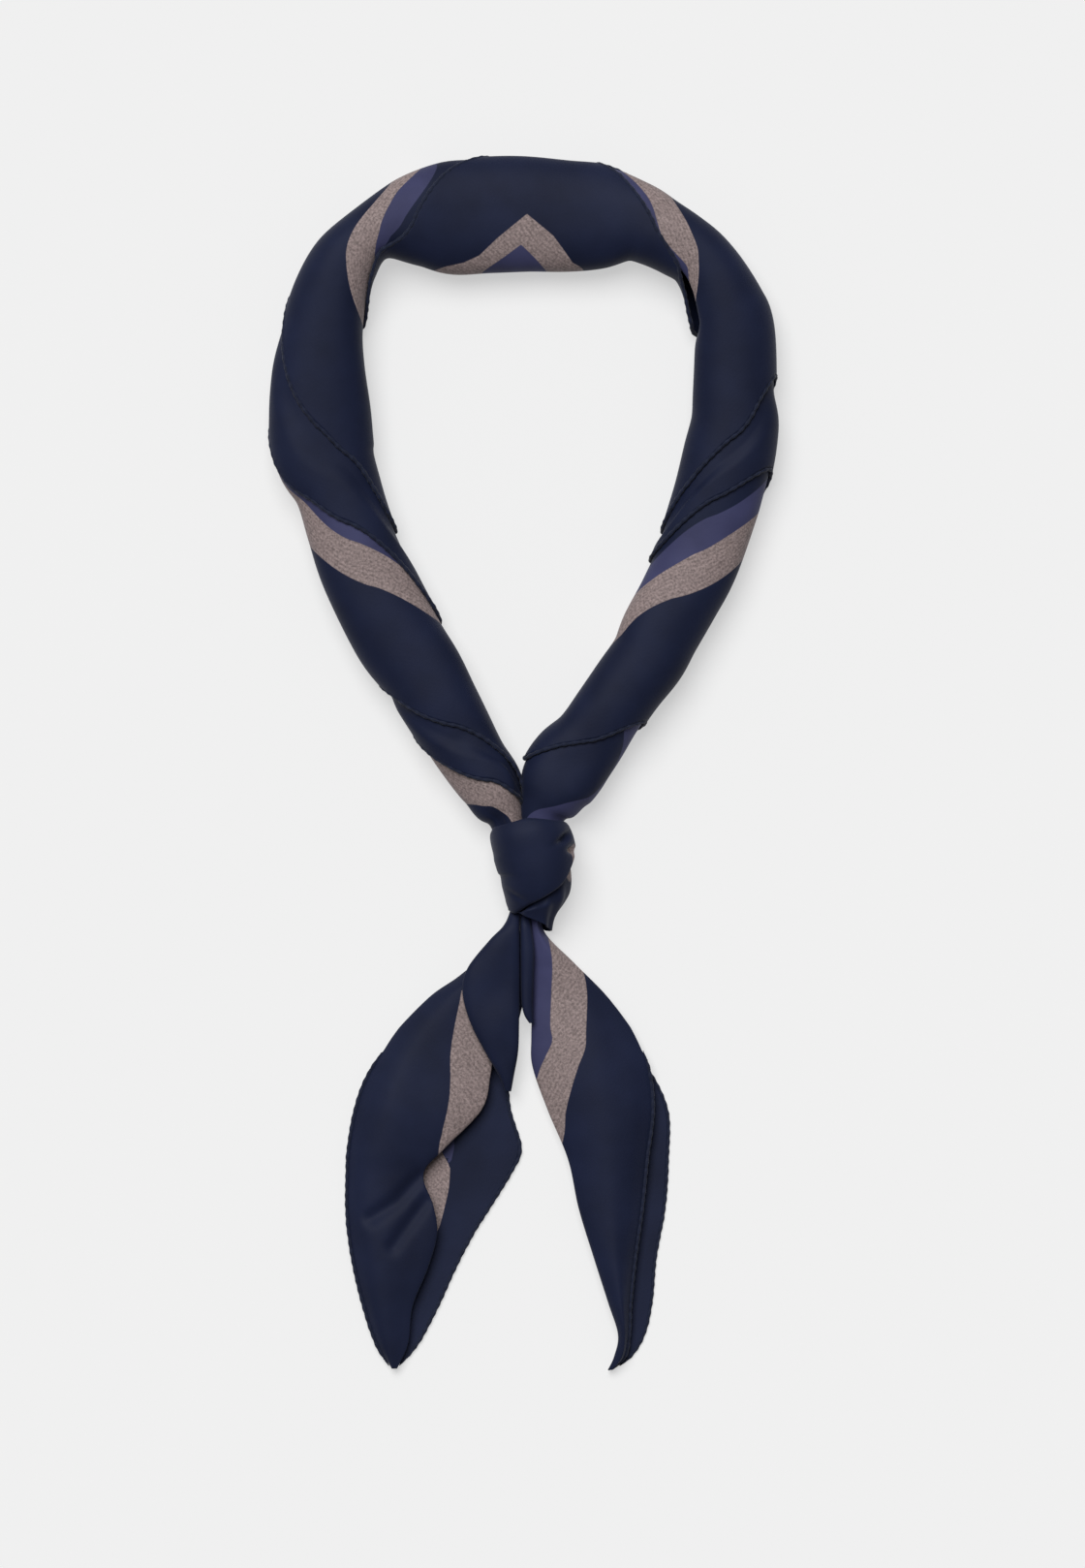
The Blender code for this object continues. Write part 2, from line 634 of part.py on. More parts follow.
def make_tail(name, rows, rise, near_rise, pleated):
    """A tail: its folded sheet and the rolled hems along its two free edges."""
    finer = [drawn_in(LeafRow(*row)) for row in spread(rows, SHEET_ROWS)]
    sections = []
    for row in finer:
        sections.append([tail_place(x, row.along, z) for x, z in leaf_section(row, rise, near_rise, pleated)])
    return [
        cloth(name, sections, False, pleated),
        leaf_hem(name + "_near_hem", finer, near_rise),
        leaf_hem(name + "_far_hem", finer, None),
    ]


def make_pleat(name, rows, flip):
    """A hollow pleat: a sheet turned under at both of its sides."""
    left_half = [(-0.55, -1.0), (-0.98, -0.7), (-0.8, -0.2), (-0.3, 0.0)]
    shape = left_half + [(-x, z) for x, z in reversed(left_half)]
    sections = []
    for row in (PleatRow(*row) for row in spread(rows, SHEET_ROWS // 3)):
        top = row.height * PLEAT_HEIGHT
        middle, half = (row.left + row.right) / 2, (row.right - row.left) / 2
        depth = min(PLEAT_DEPTH, PLEAT_STEEPNESS * half * TAIL_SPAN)
        sections.append([tail_place(middle + half * x, row.along, top + depth * z) for x, z in shape])
    return cloth(name, sections, False, flip)


def clear_scene():
    """Removes whatever the scene holds."""
    for obj in list(bpy.data.objects):
        bpy.data.objects.remove(obj, do_unlink=True)


def stand_on_origin(root, objects):
    """Moves the root so that the origin is on the table, under the middle of the whole piece."""
    bpy.context.view_layer.update()
    graph = bpy.context.evaluated_depsgraph_get()
    points = []
    for obj in objects:
        shown = obj.evaluated_get(graph)
        points += [vertex.co.copy() for vertex in shown.to_mesh().vertices]
        shown.to_mesh_clear()
    low = [min(point[axis] for point in points) for axis in range(3)]
    high = [max(point[axis] for point in points) for axis in range(3)]
    root.location = (-(low[0] + high[0]) / 2, -(low[1] + high[1]) / 2, -low[2])


def main():
    """Builds the neckerchief."""
    clear_scene()
    group = bpy.data.collections.new("neckerchief")
    bpy.context.scene.collection.children.link(group)
    root = bpy.data.objects.new("neckerchief_origin", None)
    group.objects.link(root)
    loop, knot = loop_roll(), knot_roll()
    pieces = make_back(loop)
    pieces += make_arm(loop, -1, BACK_LEFT, LEFT_MOUTHS)
    pieces += make_arm(loop, 1, BACK_RIGHT, RIGHT_MOUTHS)
    pieces += make_knot(knot)
    pieces += make_tail("left_tail", LEFT_LEAF, LEFT_RISE, LEFT_NEAR_RISE, True)
    pieces += make_tail("right_tail", RIGHT_LEAF, RIGHT_RISE, RIGHT_NEAR_RISE, False)
    pieces.append(make_pleat("left_tail_pleat", LEFT_PLEAT, True))
    pieces.append(make_pleat("right_tail_pleat", RIGHT_PLEAT, True))
    for obj in pieces:
        is_hem = obj.type == "CURVE"
        finish = material(obj.name, HEM_NAVY if is_hem else NAVY, HEM_ROUGHNESS if is_hem else CLOTH_ROUGHNESS)
        place(obj, group, root, finish)
    stand_on_origin(root, pieces)


main()
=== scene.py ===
"""A square silk neckerchief, rolled on the bias and tied in one knot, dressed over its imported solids.

The cloth is laid with the same lines and slants as the solids, at a finer pitch and with thinner walls.
Metres, +Z up, the origin on the table under the middle of the whole piece, the tails towards -Y.
"""

import logging
import math
from dataclasses import dataclass, field
from enum import Enum
from typing import NamedTuple

import bpy
import numpy as np
from bpy.types import ID, Material, Node, NodeSocket, Object
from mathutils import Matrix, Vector


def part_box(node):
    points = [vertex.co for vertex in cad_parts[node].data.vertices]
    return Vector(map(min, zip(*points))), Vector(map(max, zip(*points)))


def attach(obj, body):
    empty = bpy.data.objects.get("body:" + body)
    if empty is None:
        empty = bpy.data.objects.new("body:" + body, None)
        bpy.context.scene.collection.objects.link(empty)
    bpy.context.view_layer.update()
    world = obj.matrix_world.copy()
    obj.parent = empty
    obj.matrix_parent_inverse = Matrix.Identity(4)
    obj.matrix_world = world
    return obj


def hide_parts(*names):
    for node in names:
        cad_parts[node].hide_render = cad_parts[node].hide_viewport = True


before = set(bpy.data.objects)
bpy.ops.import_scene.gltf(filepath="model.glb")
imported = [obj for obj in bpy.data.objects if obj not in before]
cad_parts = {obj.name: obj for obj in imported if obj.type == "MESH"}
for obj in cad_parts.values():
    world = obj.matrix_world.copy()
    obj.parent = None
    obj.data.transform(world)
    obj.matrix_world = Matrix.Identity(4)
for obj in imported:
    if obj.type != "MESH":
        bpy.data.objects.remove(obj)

LOG = logging.getLogger("neckerchief")
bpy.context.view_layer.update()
Array = np.ndarray


class Side(Enum):
    """The arms of the loop, left and right as in the photo, with the sense of the roll's line."""

    LEFT = -1
    RIGHT = 1


class Station(NamedTuple):
    """The roll at one place on its line: its middle, its width and its height, all as shares."""

    across: float
    along: float
    width: float
    height: float


class Slant(NamedTuple):
    """A line round the roll, as shares of the arm's length on its outer and inner side.

    Bow moves it on along the roll's top and back underneath, and skew bends it into an S.
    """

    outer: float
    inner: float
    bow: float = 0.0
    skew: float = 0.0

    def at(self, around: Array) -> Array:
        """The share of the arm's length at a share of the way round from the outer side over the top."""
        angle = 2 * np.pi * around
        bend = self.bow * np.sin(angle) + self.skew * np.sin(2 * angle)
        return (self.outer + self.inner) / 2 + (self.outer - self.inner) / 2 * np.cos(angle) + bend


class Turned(NamedTuple):
    """A place on a line round the roll: the share of the way round, and the share of the arm's length."""

    around: float
    along: float


class Rim(NamedTuple):
    """A line round the roll that is too bent for a slant, from its places once round."""

    places: tuple[Turned, ...]

    def at(self, around: Array) -> Array:
        """The share of the arm's length at a share of the way round from the outer side over the top."""
        return through(self.places, np.asarray(around, dtype=float) % 1.0)


class Stripes(NamedTuple):
    """Where the border's stripes lie on a turn, from its own hem back towards the middle of the cloth."""

    navy_to_taupe: Slant
    taupe_to_blue: Slant
    blue_to_navy: Slant


class LeafRow(NamedTuple):
    """One section across a tail, in shares of its span and height."""

    along: float
    hem: float
    edge: float
    crest: float
    fold: float
    tuck: float
    far: float
    crest_height: float
    fold_height: float


class PleatRow(NamedTuple):
    """One section across a pleat."""

    along: float
    left: float
    right: float
    height: float


class Cut(NamedTuple):
    """A place on the line where two colours meet, as shares of a part's length and width."""

    along: float
    across: float


class Dent(NamedTuple):
    """A soft hollow in a turn, in shares of the arm's length and of the way round, and metres deep."""

    along: float
    around: float
    long: float
    wide: float
    depth: float

    def at(self, along: Array, around: Array) -> Array:
        """How deep the hollow is at some places. It has a flat bottom and steep sides."""
        turned = signed_turn(around - self.around)
        return self.depth * np.exp(-(((along - self.along) / self.long) ** 4) - (turned / self.wide) ** 4)


class Pinch(NamedTuple):
    """A short crease round the knot: where it is, how it slants, how far it spreads and its depth.

    Length, width, slant and depth are in metres. Around and reach are shares of the way round.
    """

    length: float
    around: float
    slant: float
    width: float
    reach: float
    depth: float

    def at(self, length: Array, around: Array) -> Array:
        """How deep the crease is at some places."""
        off = length - self.length - self.slant * (around - self.around)
        return self.depth * np.exp(-((off / self.width) ** 2) - ((around - self.around) / self.reach) ** 2)


class Crease(NamedTuple):
    """A soft valley in a tail, through three places, with its width and depth in metres."""

    start: Cut
    middle: Cut
    end: Cut
    width: float
    depth: float


def table(kind: type, *rows: tuple[float, ...]) -> tuple:
    """Makes a table from rows of one kind."""
    return tuple(kind(*row) for row in rows)


@dataclass(frozen=True)
class Sizes:
    """The sizes that the parts of the neckerchief share, in metres, and some shares of them."""

    loop_width: float = 0.158
    loop_length: float = 0.2064
    roll_width: float = 0.032
    roll_height: float = 0.019
    knot_width: float = 0.0267
    knot_length: float = 0.0345
    knot_height: float = 0.0235
    tail_span: float = 0.0558
    tail_length: float = 0.1419
    tail_height: float = 0.0085
    tail_start: float = 0.0276
    cloth: float = 0.00045
    layer: float = 0.0010
    hem_radius: float = 0.00065
    table_lift: float = 0.0005
    tuck_in: float = 0.0065
    hem_room: float = 0.0045
    inner_room: float = 0.35
    roll_cut: float = 0.085
    wrap_cut: float = 0.075
    under_cut: float = 0.060
    side_cut: float = 0.036
    squareness: float = 2.3
    seat_share: float = 0.8
    settled_share: float = 0.48
    knot_wall: float = 0.002
    narrowest_cut: float = 0.0101


@dataclass(frozen=True)
class Stitching:
    """How a rolled hem is sewn. Pitch, thread and slant are in metres, and wrapped is an angle."""

    pitch: float = 0.003
    thread: float = 0.00014
    slant: float = 0.00022
    wrapped: float = 1.9
    thickness: float = 0.90
    drawn_in: float = 0.14
    uneven: float = 0.05
    end: float = 0.35
    reach: float = 0.88
    steps: int = 9
    thread_points: int = 7
    bead_sides: int = 10
    thread_sides: int = 5


SIZES = Sizes()
STITCHES = Stitching()
EDGE, CREST, FOLD, FAR = 1, 3, 5, 9  # where these are among the ten places across a tail's section
PATH_SAMPLES = 12  # of a roll's line, between two stations
HEADING_SAMPLES = 3  # how many of them a heading is read over, both ways
COLUMNS = 104
PITCH = 0.0009  # of the cloth's mesh along the roll
WAVE_PITCH = 0.314  # a wave texture of scale 1 has its bands this far apart
NOISE_PITCH = 0.9  # a noise texture of scale 1 has its spots about this far apart
NOWHERE = -0.02  # how far outside a stripe a place without that stripe counts as

LEFT_ARM = table(
    Station,
    (-0.133, 0.087, 1.125, 0.86), (-0.296, 0.090, 1.120, 0.88), (-0.450, 0.097, 0.880, 0.95),
    (-0.592, 0.115, 0.581, 1.00), (-0.691, 0.154, 0.656, 1.00), (-0.748, 0.201, 0.731, 1.00),
    (-0.782, 0.259, 0.815, 1.00), (-0.796, 0.317, 0.909, 1.00), (-0.794, 0.382, 0.993, 1.00),
    (-0.782, 0.448, 1.003, 1.00), (-0.729, 0.499, 0.860, 1.00), (-0.680, 0.557, 0.843, 1.00),
    (-0.613, 0.625, 0.882, 1.00), (-0.493, 0.717, 0.885, 1.00), (-0.398, 0.770, 0.825, 1.00),
    (-0.322, 0.823, 0.765, 1.00), (-0.246, 0.872, 0.725, 0.96), (-0.188, 0.906, 0.675, 0.92),
    (-0.124, 0.939, 0.630, 0.87), (-0.091, 0.968, 0.530, 0.78), (-0.060, 0.992, 0.370, 0.66),
    (-0.042, 1.026, 0.305, 0.60), (-0.020, 1.060, 0.260, 0.62), (0.000, 1.094, 0.210, 0.58),
)
BACK = Station(0.019, 0.0865, 1.115, 0.85)
RIGHT_ARM = table(
    Station,
    (0.171, 0.089, 1.078, 0.86), (0.330, 0.090, 0.993, 0.88), (0.448, 0.097, 0.806, 0.94),
    (0.532, 0.112, 0.712, 1.00), (0.619, 0.131, 0.665, 1.00), (0.691, 0.151, 0.637, 1.00),
    (0.748, 0.182, 0.684, 1.00), (0.792, 0.222, 0.769, 1.00), (0.818, 0.260, 0.815, 1.00),
    (0.826, 0.353, 0.825, 1.00), (0.830, 0.400, 0.853, 1.00), (0.809, 0.446, 0.890, 1.00),
    (0.775, 0.496, 0.890, 1.00), (0.745, 0.532, 0.886, 1.00), (0.673, 0.609, 0.858, 1.00),
    (0.604, 0.663, 0.822, 1.00), (0.537, 0.711, 0.795, 1.00), (0.490, 0.751, 0.750, 1.00),
    (0.414, 0.791, 0.722, 1.00), (0.341, 0.831, 0.720, 1.00), (0.263, 0.874, 0.740, 0.96),
    (0.188, 0.906, 0.805, 0.92), (0.128, 0.936, 0.775, 0.87), (0.095, 0.962, 0.640, 0.78),
    (0.070, 0.988, 0.465, 0.66), (0.072, 1.026, 0.320, 0.60), (0.090, 1.060, 0.290, 0.62),
    (0.104, 1.088, 0.210, 0.58),
)
INSIDE_KNOT = 2  # the stations at the end of each arm that lie past the knot's upper mouth
# Shares of an arm's length where it rises over the knot's two walls.
KNOT_STEPS = ((0.86, 0.94), (0.99, 1.02))

KNOT = table(
    Station,
    (0.000, -0.045, 0.820, 0.94), (0.045, 0.070, 0.905, 1.00), (0.124, 0.226, 0.965, 1.00),
    (0.173, 0.435, 0.900, 0.97), (0.146, 0.609, 0.787, 0.88), (0.101, 0.826, 0.575, 0.67),
    (0.095, 1.040, 0.480, 0.55),
)

LEFT_MOUTHS = {
    "back_turn_left": Slant(0.048, 0.285, -0.032, 0.034),
    "left_turn_1": Slant(0.300, 0.584, 0.002, 0.027),
    "left_turn_2": Slant(0.447, 0.708, -0.015, 0.035),
    "left_turn_3": Slant(0.752, 0.956, -0.016, 0.023),
    "left_turn_4": Slant(0.831, 0.966, 0.020, 0.010),
    "left_turn_5": Slant(1.055, 1.055),
}
# The back turn's right mouth gapes on the loop's inner side, where its rim turns down along the outline.
GAPING_RIM = Rim(
    table(
        Turned,
        (0.000, 0.081), (0.049, 0.088), (0.090, 0.103), (0.169, 0.125), (0.234, 0.147), (0.308, 0.184),
        (0.345, 0.200), (0.400, 0.215), (0.443, 0.234), (0.475, 0.262), (0.500, 0.292), (0.540, 0.312),
        (0.620, 0.316), (0.750, 0.270), (0.870, 0.175), (0.950, 0.103), (1.000, 0.081),
    )
)
RIGHT_MOUTHS = {
    "back_turn_right": GAPING_RIM,
    "right_turn_1": Slant(0.374, 0.576, -0.028, 0.008),
    "right_turn_2": Slant(0.481, 0.622, -0.030, 0.000),
    "right_turn_3": Slant(0.802, 0.919, -0.003, -0.005),
    "right_turn_4": Slant(1.050, 1.050),
}
KNOT_TOP = Slant(0.050, 0.200, -0.130)
KNOT_WRAP_END = Slant(0.835, 0.370, 0.170)
KNOT_UNDER_END = Slant(0.870, 1.030, -0.030)

# Two creases at the knot's right side, and one at its lower left.
KNOT_PINCHES = (
    Pinch(0.0094, 0.10, 0.010, 0.0008, 0.05, 0.0024),
    Pinch(0.0125, 0.06, 0.000, 0.0010, 0.04, 0.0022),
    Pinch(0.0258, 0.34, -0.020, 0.0009, 0.06, 0.0006),
)

# The navy at the left arm's end, whose edge runs across the arm and then down into the knot.
KNOT_SIDE_NAVY = Rim(
    table(
        Turned,
        (0.000, 0.936), (0.080, 0.941), (0.150, 0.947), (0.200, 0.951), (0.235, 0.962), (0.280, 0.984),
        (0.350, 1.025), (0.500, 1.100), (0.750, 1.020), (0.920, 0.945), (1.000, 0.936),
    )
)

STRIPES = {
    "left_turn_1": Stripes(
        Slant(0.152, 0.313, 0.003, 0.001),
        Slant(0.122, 0.231, 0.003, 0.009),
        Slant(0.108, 0.233, -0.020, 0.000),
    ),
    "left_turn_3": Stripes(
        Slant(0.577, 0.736, -0.009, 0.008),
        Slant(0.477, 0.677, 0.012, 0.023),
        Slant(0.380, 0.590, 0.000, 0.020),
    ),
    "left_turn_5": Stripes(
        KNOT_SIDE_NAVY,
        Slant(0.760, 0.880),
        Slant(0.700, 0.820),
    ),
    "right_turn_1": Stripes(
        Slant(0.152, 0.304, -0.010, 0.010),
        Slant(0.108, 0.453, -0.118, 0.056),
        Slant(0.050, 0.200, -0.040, 0.030),
    ),
    "right_turn_3": Stripes(
        Slant(0.583, 0.759, -0.016, 0.014),
        Slant(0.526, 0.680, -0.008, 0.005),
        Slant(0.486, 0.644, -0.016, 0.010),
    ),
}
# On the last turn of the right arm the frame runs along the outer side: how far round its blue reaches.
RIGHT_LAST_BLUE = table(
    Cut,
    (0.790, 0.170), (0.822, 0.150), (0.844, 0.075), (0.868, 0.030), (0.894, 0.055), (0.912, 0.080),
    (0.937, 0.138), (0.952, 0.208), (0.962, 0.262), (0.972, 0.340), (0.984, 0.420), (1.010, 0.465),
    (1.060, 0.480),
)
RIGHT_LAST_TAUPE = Slant(0.972, 1.010, 0.010)
RIGHT_TAUPE_SIDE = 0.415  # how far round the taupe of the right arm's first turn reaches
TAUPE_LEAST = 0.03  # a stripe's least width on the arms, as a share of the arm's length
BLUE_LEAST = 0.02

# The corner of the frame at the back of the neck: its outer edge, and where its taupe gives way to blue.
# Across is a share of half the loop's width and along of its length.
CORNER_OUTER = table(
    Cut,
    (0.3000, -0.4200), (0.1720, -0.3500), (0.1670, -0.3100), (0.1605, -0.2316), (0.1500, -0.1709),
    (0.1250, -0.1025), (0.0882, 0.0152), (0.1206, 0.1177), (0.1440, 0.1633), (0.1605, 0.1937),
    (0.1680, 0.2316), (0.1800, 0.2550), (0.3000, 0.3000),
)
CORNER_INNER = table(
    Cut,
    (0.2300, -0.3000), (0.1730, -0.1557), (0.1526, -0.0759), (0.1337, -0.0076), (0.1533, 0.0456),
    (0.1730, 0.0930), (0.2300, 0.2200),
)

DENTS = {
    "right_turn_1": (Dent(0.248, 0.50, 0.066, 0.084, 0.0046),),
    "left_turn_4": (Dent(0.935, 0.42, 0.020, 0.060, 0.0010),),
    "left_turn_5": (Dent(0.975, 0.18, 0.022, 0.050, 0.0009),),
}

LEFT_LEAF = table(
    LeafRow,
    (-0.018, -0.018, -0.028, -0.018, 0.000, -0.010, 0.002, 0.74, 0.42),
    (0.012, -0.030, -0.040, -0.028, -0.012, -0.022, -0.010, 0.74, 0.42),
    (0.056, -0.080, -0.110, -0.075, -0.025, -0.060, 0.004, 0.76, 0.46),
    (0.135, -0.220, -0.345, -0.230, -0.080, -0.180, 0.010, 0.82, 0.52),
    (0.185, -0.410, -0.524, -0.355, -0.120, -0.260, 0.006, 0.82, 0.52),
    (0.270, -0.700, -0.730, -0.510, -0.160, -0.330, -0.045, 0.88, 0.52),
    (0.355, -0.862, -0.874, -0.620, -0.185, -0.400, -0.075, 0.95, 0.52),
    (0.430, -0.938, -0.944, -0.690, -0.235, -0.460, -0.065, 1.00, 0.55),
    (0.515, -0.975, -0.982, -0.760, -0.440, -0.600, -0.005, 0.92, 0.58),
    (0.570, -0.982, -0.989, -0.790, -0.555, -0.665, -0.062, 0.82, 0.60),
    (0.640, -0.979, -0.991, -0.800, -0.500, -0.630, -0.172, 0.78, 0.60),
    (0.700, -0.962, -0.980, -0.790, -0.480, -0.610, -0.268, 0.80, 0.58),
    (0.775, -0.930, -0.949, -0.770, -0.530, -0.640, -0.368, 0.75, 0.52),
    (0.860, -0.882, -0.897, -0.760, -0.615, -0.690, -0.466, 0.62, 0.45),
    (0.940, -0.815, -0.829, -0.740, -0.640, -0.690, -0.575, 0.45, 0.36),
    (0.995, -0.742, -0.748, -0.728, -0.700, -0.716, -0.690, 0.30, 0.26),
)
RIGHT_LEAF = table(
    LeafRow,
    (-0.018, 0.090, 0.098, 0.075, 0.030, 0.055, 0.088, 0.88, 0.50),
    (0.042, 0.104, 0.120, 0.085, 0.026, 0.060, 0.100, 0.88, 0.50),
    (0.108, 0.215, 0.280, 0.180, 0.030, 0.120, 0.200, 0.90, 0.50),
    (0.183, 0.370, 0.468, 0.275, 0.050, 0.190, 0.345, 0.85, 0.45),
    (0.270, 0.560, 0.630, 0.350, 0.046, 0.280, 0.530, 0.95, 0.45),
    (0.335, 0.690, 0.706, 0.390, 0.052, 0.350, 0.690, 1.00, 0.45),
    (0.430, 0.718, 0.732, 0.440, 0.136, 0.420, 0.808, 1.00, 0.45),
    (0.538, 0.690, 0.700, 0.470, 0.249, 0.460, 0.812, 0.98, 0.45),
    (0.645, 0.662, 0.672, 0.490, 0.308, 0.490, 0.794, 0.95, 0.45),
    (0.753, 0.625, 0.634, 0.510, 0.392, 0.510, 0.745, 0.92, 0.45),
    (0.850, 0.598, 0.608, 0.540, 0.471, 0.545, 0.722, 0.85, 0.45),
    (0.920, 0.592, 0.600, 0.560, 0.526, 0.560, 0.682, 0.70, 0.42),
    (0.968, 0.570, 0.578, 0.545, 0.505, 0.540, 0.610, 0.50, 0.32),
    (0.998, 0.506, 0.511, 0.495, 0.470, 0.486, 0.518, 0.30, 0.24),
)
LEFT_PLEAT = table(
    PleatRow,
    (-0.030, -0.060, -0.014, 0.70), (0.004, -0.080, -0.016, 0.84), (0.030, -0.115, -0.018, 0.98),
    (0.060, -0.190, -0.018, 1.02), (0.120, -0.310, -0.018, 0.98), (0.172, -0.338, -0.018, 0.94),
    (0.237, -0.296, -0.020, 0.92), (0.301, -0.215, -0.026, 0.84), (0.355, -0.135, -0.050, 0.72),
    (0.389, -0.100, -0.066, 0.60),
)
RIGHT_PLEAT = table(
    PleatRow,
    (-0.030, -0.010, 0.030, 0.68), (0.004, -0.012, 0.036, 0.82), (0.030, -0.014, 0.046, 0.94),
    (0.080, -0.014, 0.062, 0.94), (0.140, -0.013, 0.058, 0.88), (0.195, -0.009, 0.054, 0.84),
    (0.222, 0.006, 0.055, 0.80), (0.240, 0.034, 0.058, 0.74),
)

# A pleat's section, turned under at both sides, as shares of half its width and of its depth.
PLEAT_HALF = ((-0.55, -1.0), (-0.98, -0.7), (-0.8, -0.2), (-0.3, 0.0))
PLEAT_SHAPE = np.array(PLEAT_HALF + tuple((-x, z) for x, z in reversed(PLEAT_HALF)))

# Where the colours of the tails meet, from the knot down, as shares of the tails' length and span.
LEFT_TAUPE_EDGE = table(
    Cut,
    (0.10, -0.330), (0.178, -0.345), (0.252, -0.382), (0.311, -0.403), (0.364, -0.403), (0.416, -0.414),
    (0.486, -0.452), (0.518, -0.468), (0.545, -0.460), (0.575, -0.400), (0.620, -0.200), (0.700, 0.100),
)
LEFT_FAR_NAVY = table(
    Cut,
    (0.40, -0.320), (0.482, -0.376), (0.514, -0.384), (0.550, -0.403), (0.603, -0.414), (0.651, -0.441),
    (0.690, -0.470), (0.715, -0.520), (0.780, -0.700), (0.860, -0.950),
)
LEFT_TAUPE_START = 0.168  # the front leaf's taupe comes out from under the pleat here
LEFT_CREASES = (
    Crease(Cut(0.575, -0.575), Cut(0.628, -0.694), Cut(0.666, -0.844), 0.0024, 0.0014),
    Crease(Cut(0.628, -0.538), Cut(0.685, -0.645), Cut(0.727, -0.720), 0.0022, 0.0012),
)
LEFT_FAR_BLUE_END = 0.545  # the blue of the far leaf ends here, and the taupe goes on
LEFT_FAR_BLUE_ACROSS = -0.42  # where across the tail it does so
LEFT_FAR_BLUE_LEAN = 1.8
RIGHT_TAUPE_START = table(
    Cut,
    (-0.02, 0.100), (0.044, 0.134), (0.104, 0.161), (0.180, 0.156), (0.247, 0.151), (0.279, 0.161),
    (0.313, 0.124), (0.349, 0.086), (0.362, 0.075), (0.420, 0.000),
)
RIGHT_TAUPE_END = table(
    Cut,
    (0.080, 0.300), (0.135, 0.339), (0.180, 0.355), (0.256, 0.349), (0.294, 0.344), (0.334, 0.306),
    (0.381, 0.269), (0.433, 0.237), (0.486, 0.226), (0.560, 0.180),
)


def smooth(value: Array) -> Array:
    """Eases a value from 0 to 1."""
    held = np.clip(value, 0.0, 1.0)
    return held * held * (3.0 - 2.0 * held)


def between(first: Array, second: Array, share: Array) -> Array:
    """Goes a share of the way from one value to another."""
    return first + (second - first) * share


def shares_round(count: int) -> Array:
    """Even shares of the way round, in one row."""
    return np.arange(count)[None, :] / count


def row_shares(start: Array, end: Array) -> Array:
    """Even shares from 0 to 1, one for each row of a turn, with the cloth's pitch where it is longest."""
    return np.linspace(0.0, 1.0, math.ceil(float((end - start).max()) / PITCH))[:, None]


def tail_point(across: Array, along: Array, height: Array) -> Array:
    """Points from shares of the tails' span and length and a height in metres."""
    down = -SIZES.loop_length - SIZES.tail_start - along * SIZES.tail_length
    return np.stack(np.broadcast_arrays(across * SIZES.tail_span, down, height), -1)


def new_object(name: str, data: ID) -> Object:
    """Puts a mesh, a lamp or a camera in the scene."""
    obj = bpy.data.objects.new(name, data)
    bpy.context.scene.collection.objects.link(obj)
    return obj


def spline(rows: Array, places: Array) -> Array:
    """Reads rows at places between them, on a Catmull-Rom curve.

    Args:
        rows: What the curve passes through, one entry for each row.
        places: Where to read it, counted in rows.

    Returns:
        One entry for each place.
    """
    last = len(rows) - 1
    index = np.clip(places.astype(int), 0, last - 1)
    share = (places - index).reshape(-1, *[1] * (rows.ndim - 1))
    before, start, end, after = (rows[np.clip(index + step, 0, last)] for step in (-1, 0, 1, 2))
    bend = 2 * before - 5 * start + 4 * end - after
    twist = 3 * start - before - 3 * end + after
    return 0.5 * (2 * start + (end - before) * share + bend * share**2 + twist * share**3)


def waves(measures: list[Array], seed: int, count: int = 8) -> Array:
    """Uneven smooth waves over some measures.

    Args:
        measures: Each counted in wavelengths.
        seed: Picks the waves.
        count: How many plain waves are summed.

    Returns:
        Heights, mostly between -1 and 1.
    """
    picks = np.random.default_rng(seed)
    total = 0.0
    for _ in range(count):
        heading = picks.normal(size=len(measures))
        heading *= picks.uniform(0.6, 1.4) / np.linalg.norm(heading)
        phase = picks.uniform(0.0, 2 * np.pi)
        total = total + np.cos(2 * np.pi * sum(h * m for h, m in zip(heading, measures)) + phase)
    return total / math.sqrt(2.0 * count)


def ripples(length: Array, around: Array, pitch: float, turns: float, seed: int) -> Array:
    """Uneven smooth waves over a roll, with a pitch along it and so many round half of it."""
    angle = 2 * np.pi * around
    return waves([length / pitch, turns * np.cos(angle), turns * np.sin(angle)], seed)


def through(marks: tuple[Cut, ...] | tuple[Turned, ...], places: Array) -> Array:
    """Reads a smooth line through marks: its second column, at places in the first."""
    first, second = np.array(marks).T
    rows = np.interp(places, first, np.arange(len(marks), dtype=float))
    return spline(second, rows.ravel()).reshape(rows.shape)


def signed_turn(around: Array) -> Array:
    """Brings shares of the way round to between -0.5 and 0.5."""
    return (around + 0.5) % 1.0 - 0.5


def distance(spots: Array, start: Array, end: Array) -> Array:
    """How far some places are from a straight line between two others."""
    span = end - start
    share = np.clip(((spots - start) @ span) / (span @ span), 0.0, 1.0)
    return np.linalg.norm(spots - start - share[..., None] * span, axis=-1)


@dataclass(frozen=True)
class Weave:
    """The twill's texture. The pitches of its threads and ribs and its depth are in metres.

    Speckle is how much it changes the taupe, and lines is how much of the texture is in ribs.
    """

    pitch: float = 0.00065
    rib: float = 0.0012
    depth: float = 0.00003
    strength: float = 0.6
    speckle: float = 0.50
    heading: float = 0.75
    lines: float = 0.18


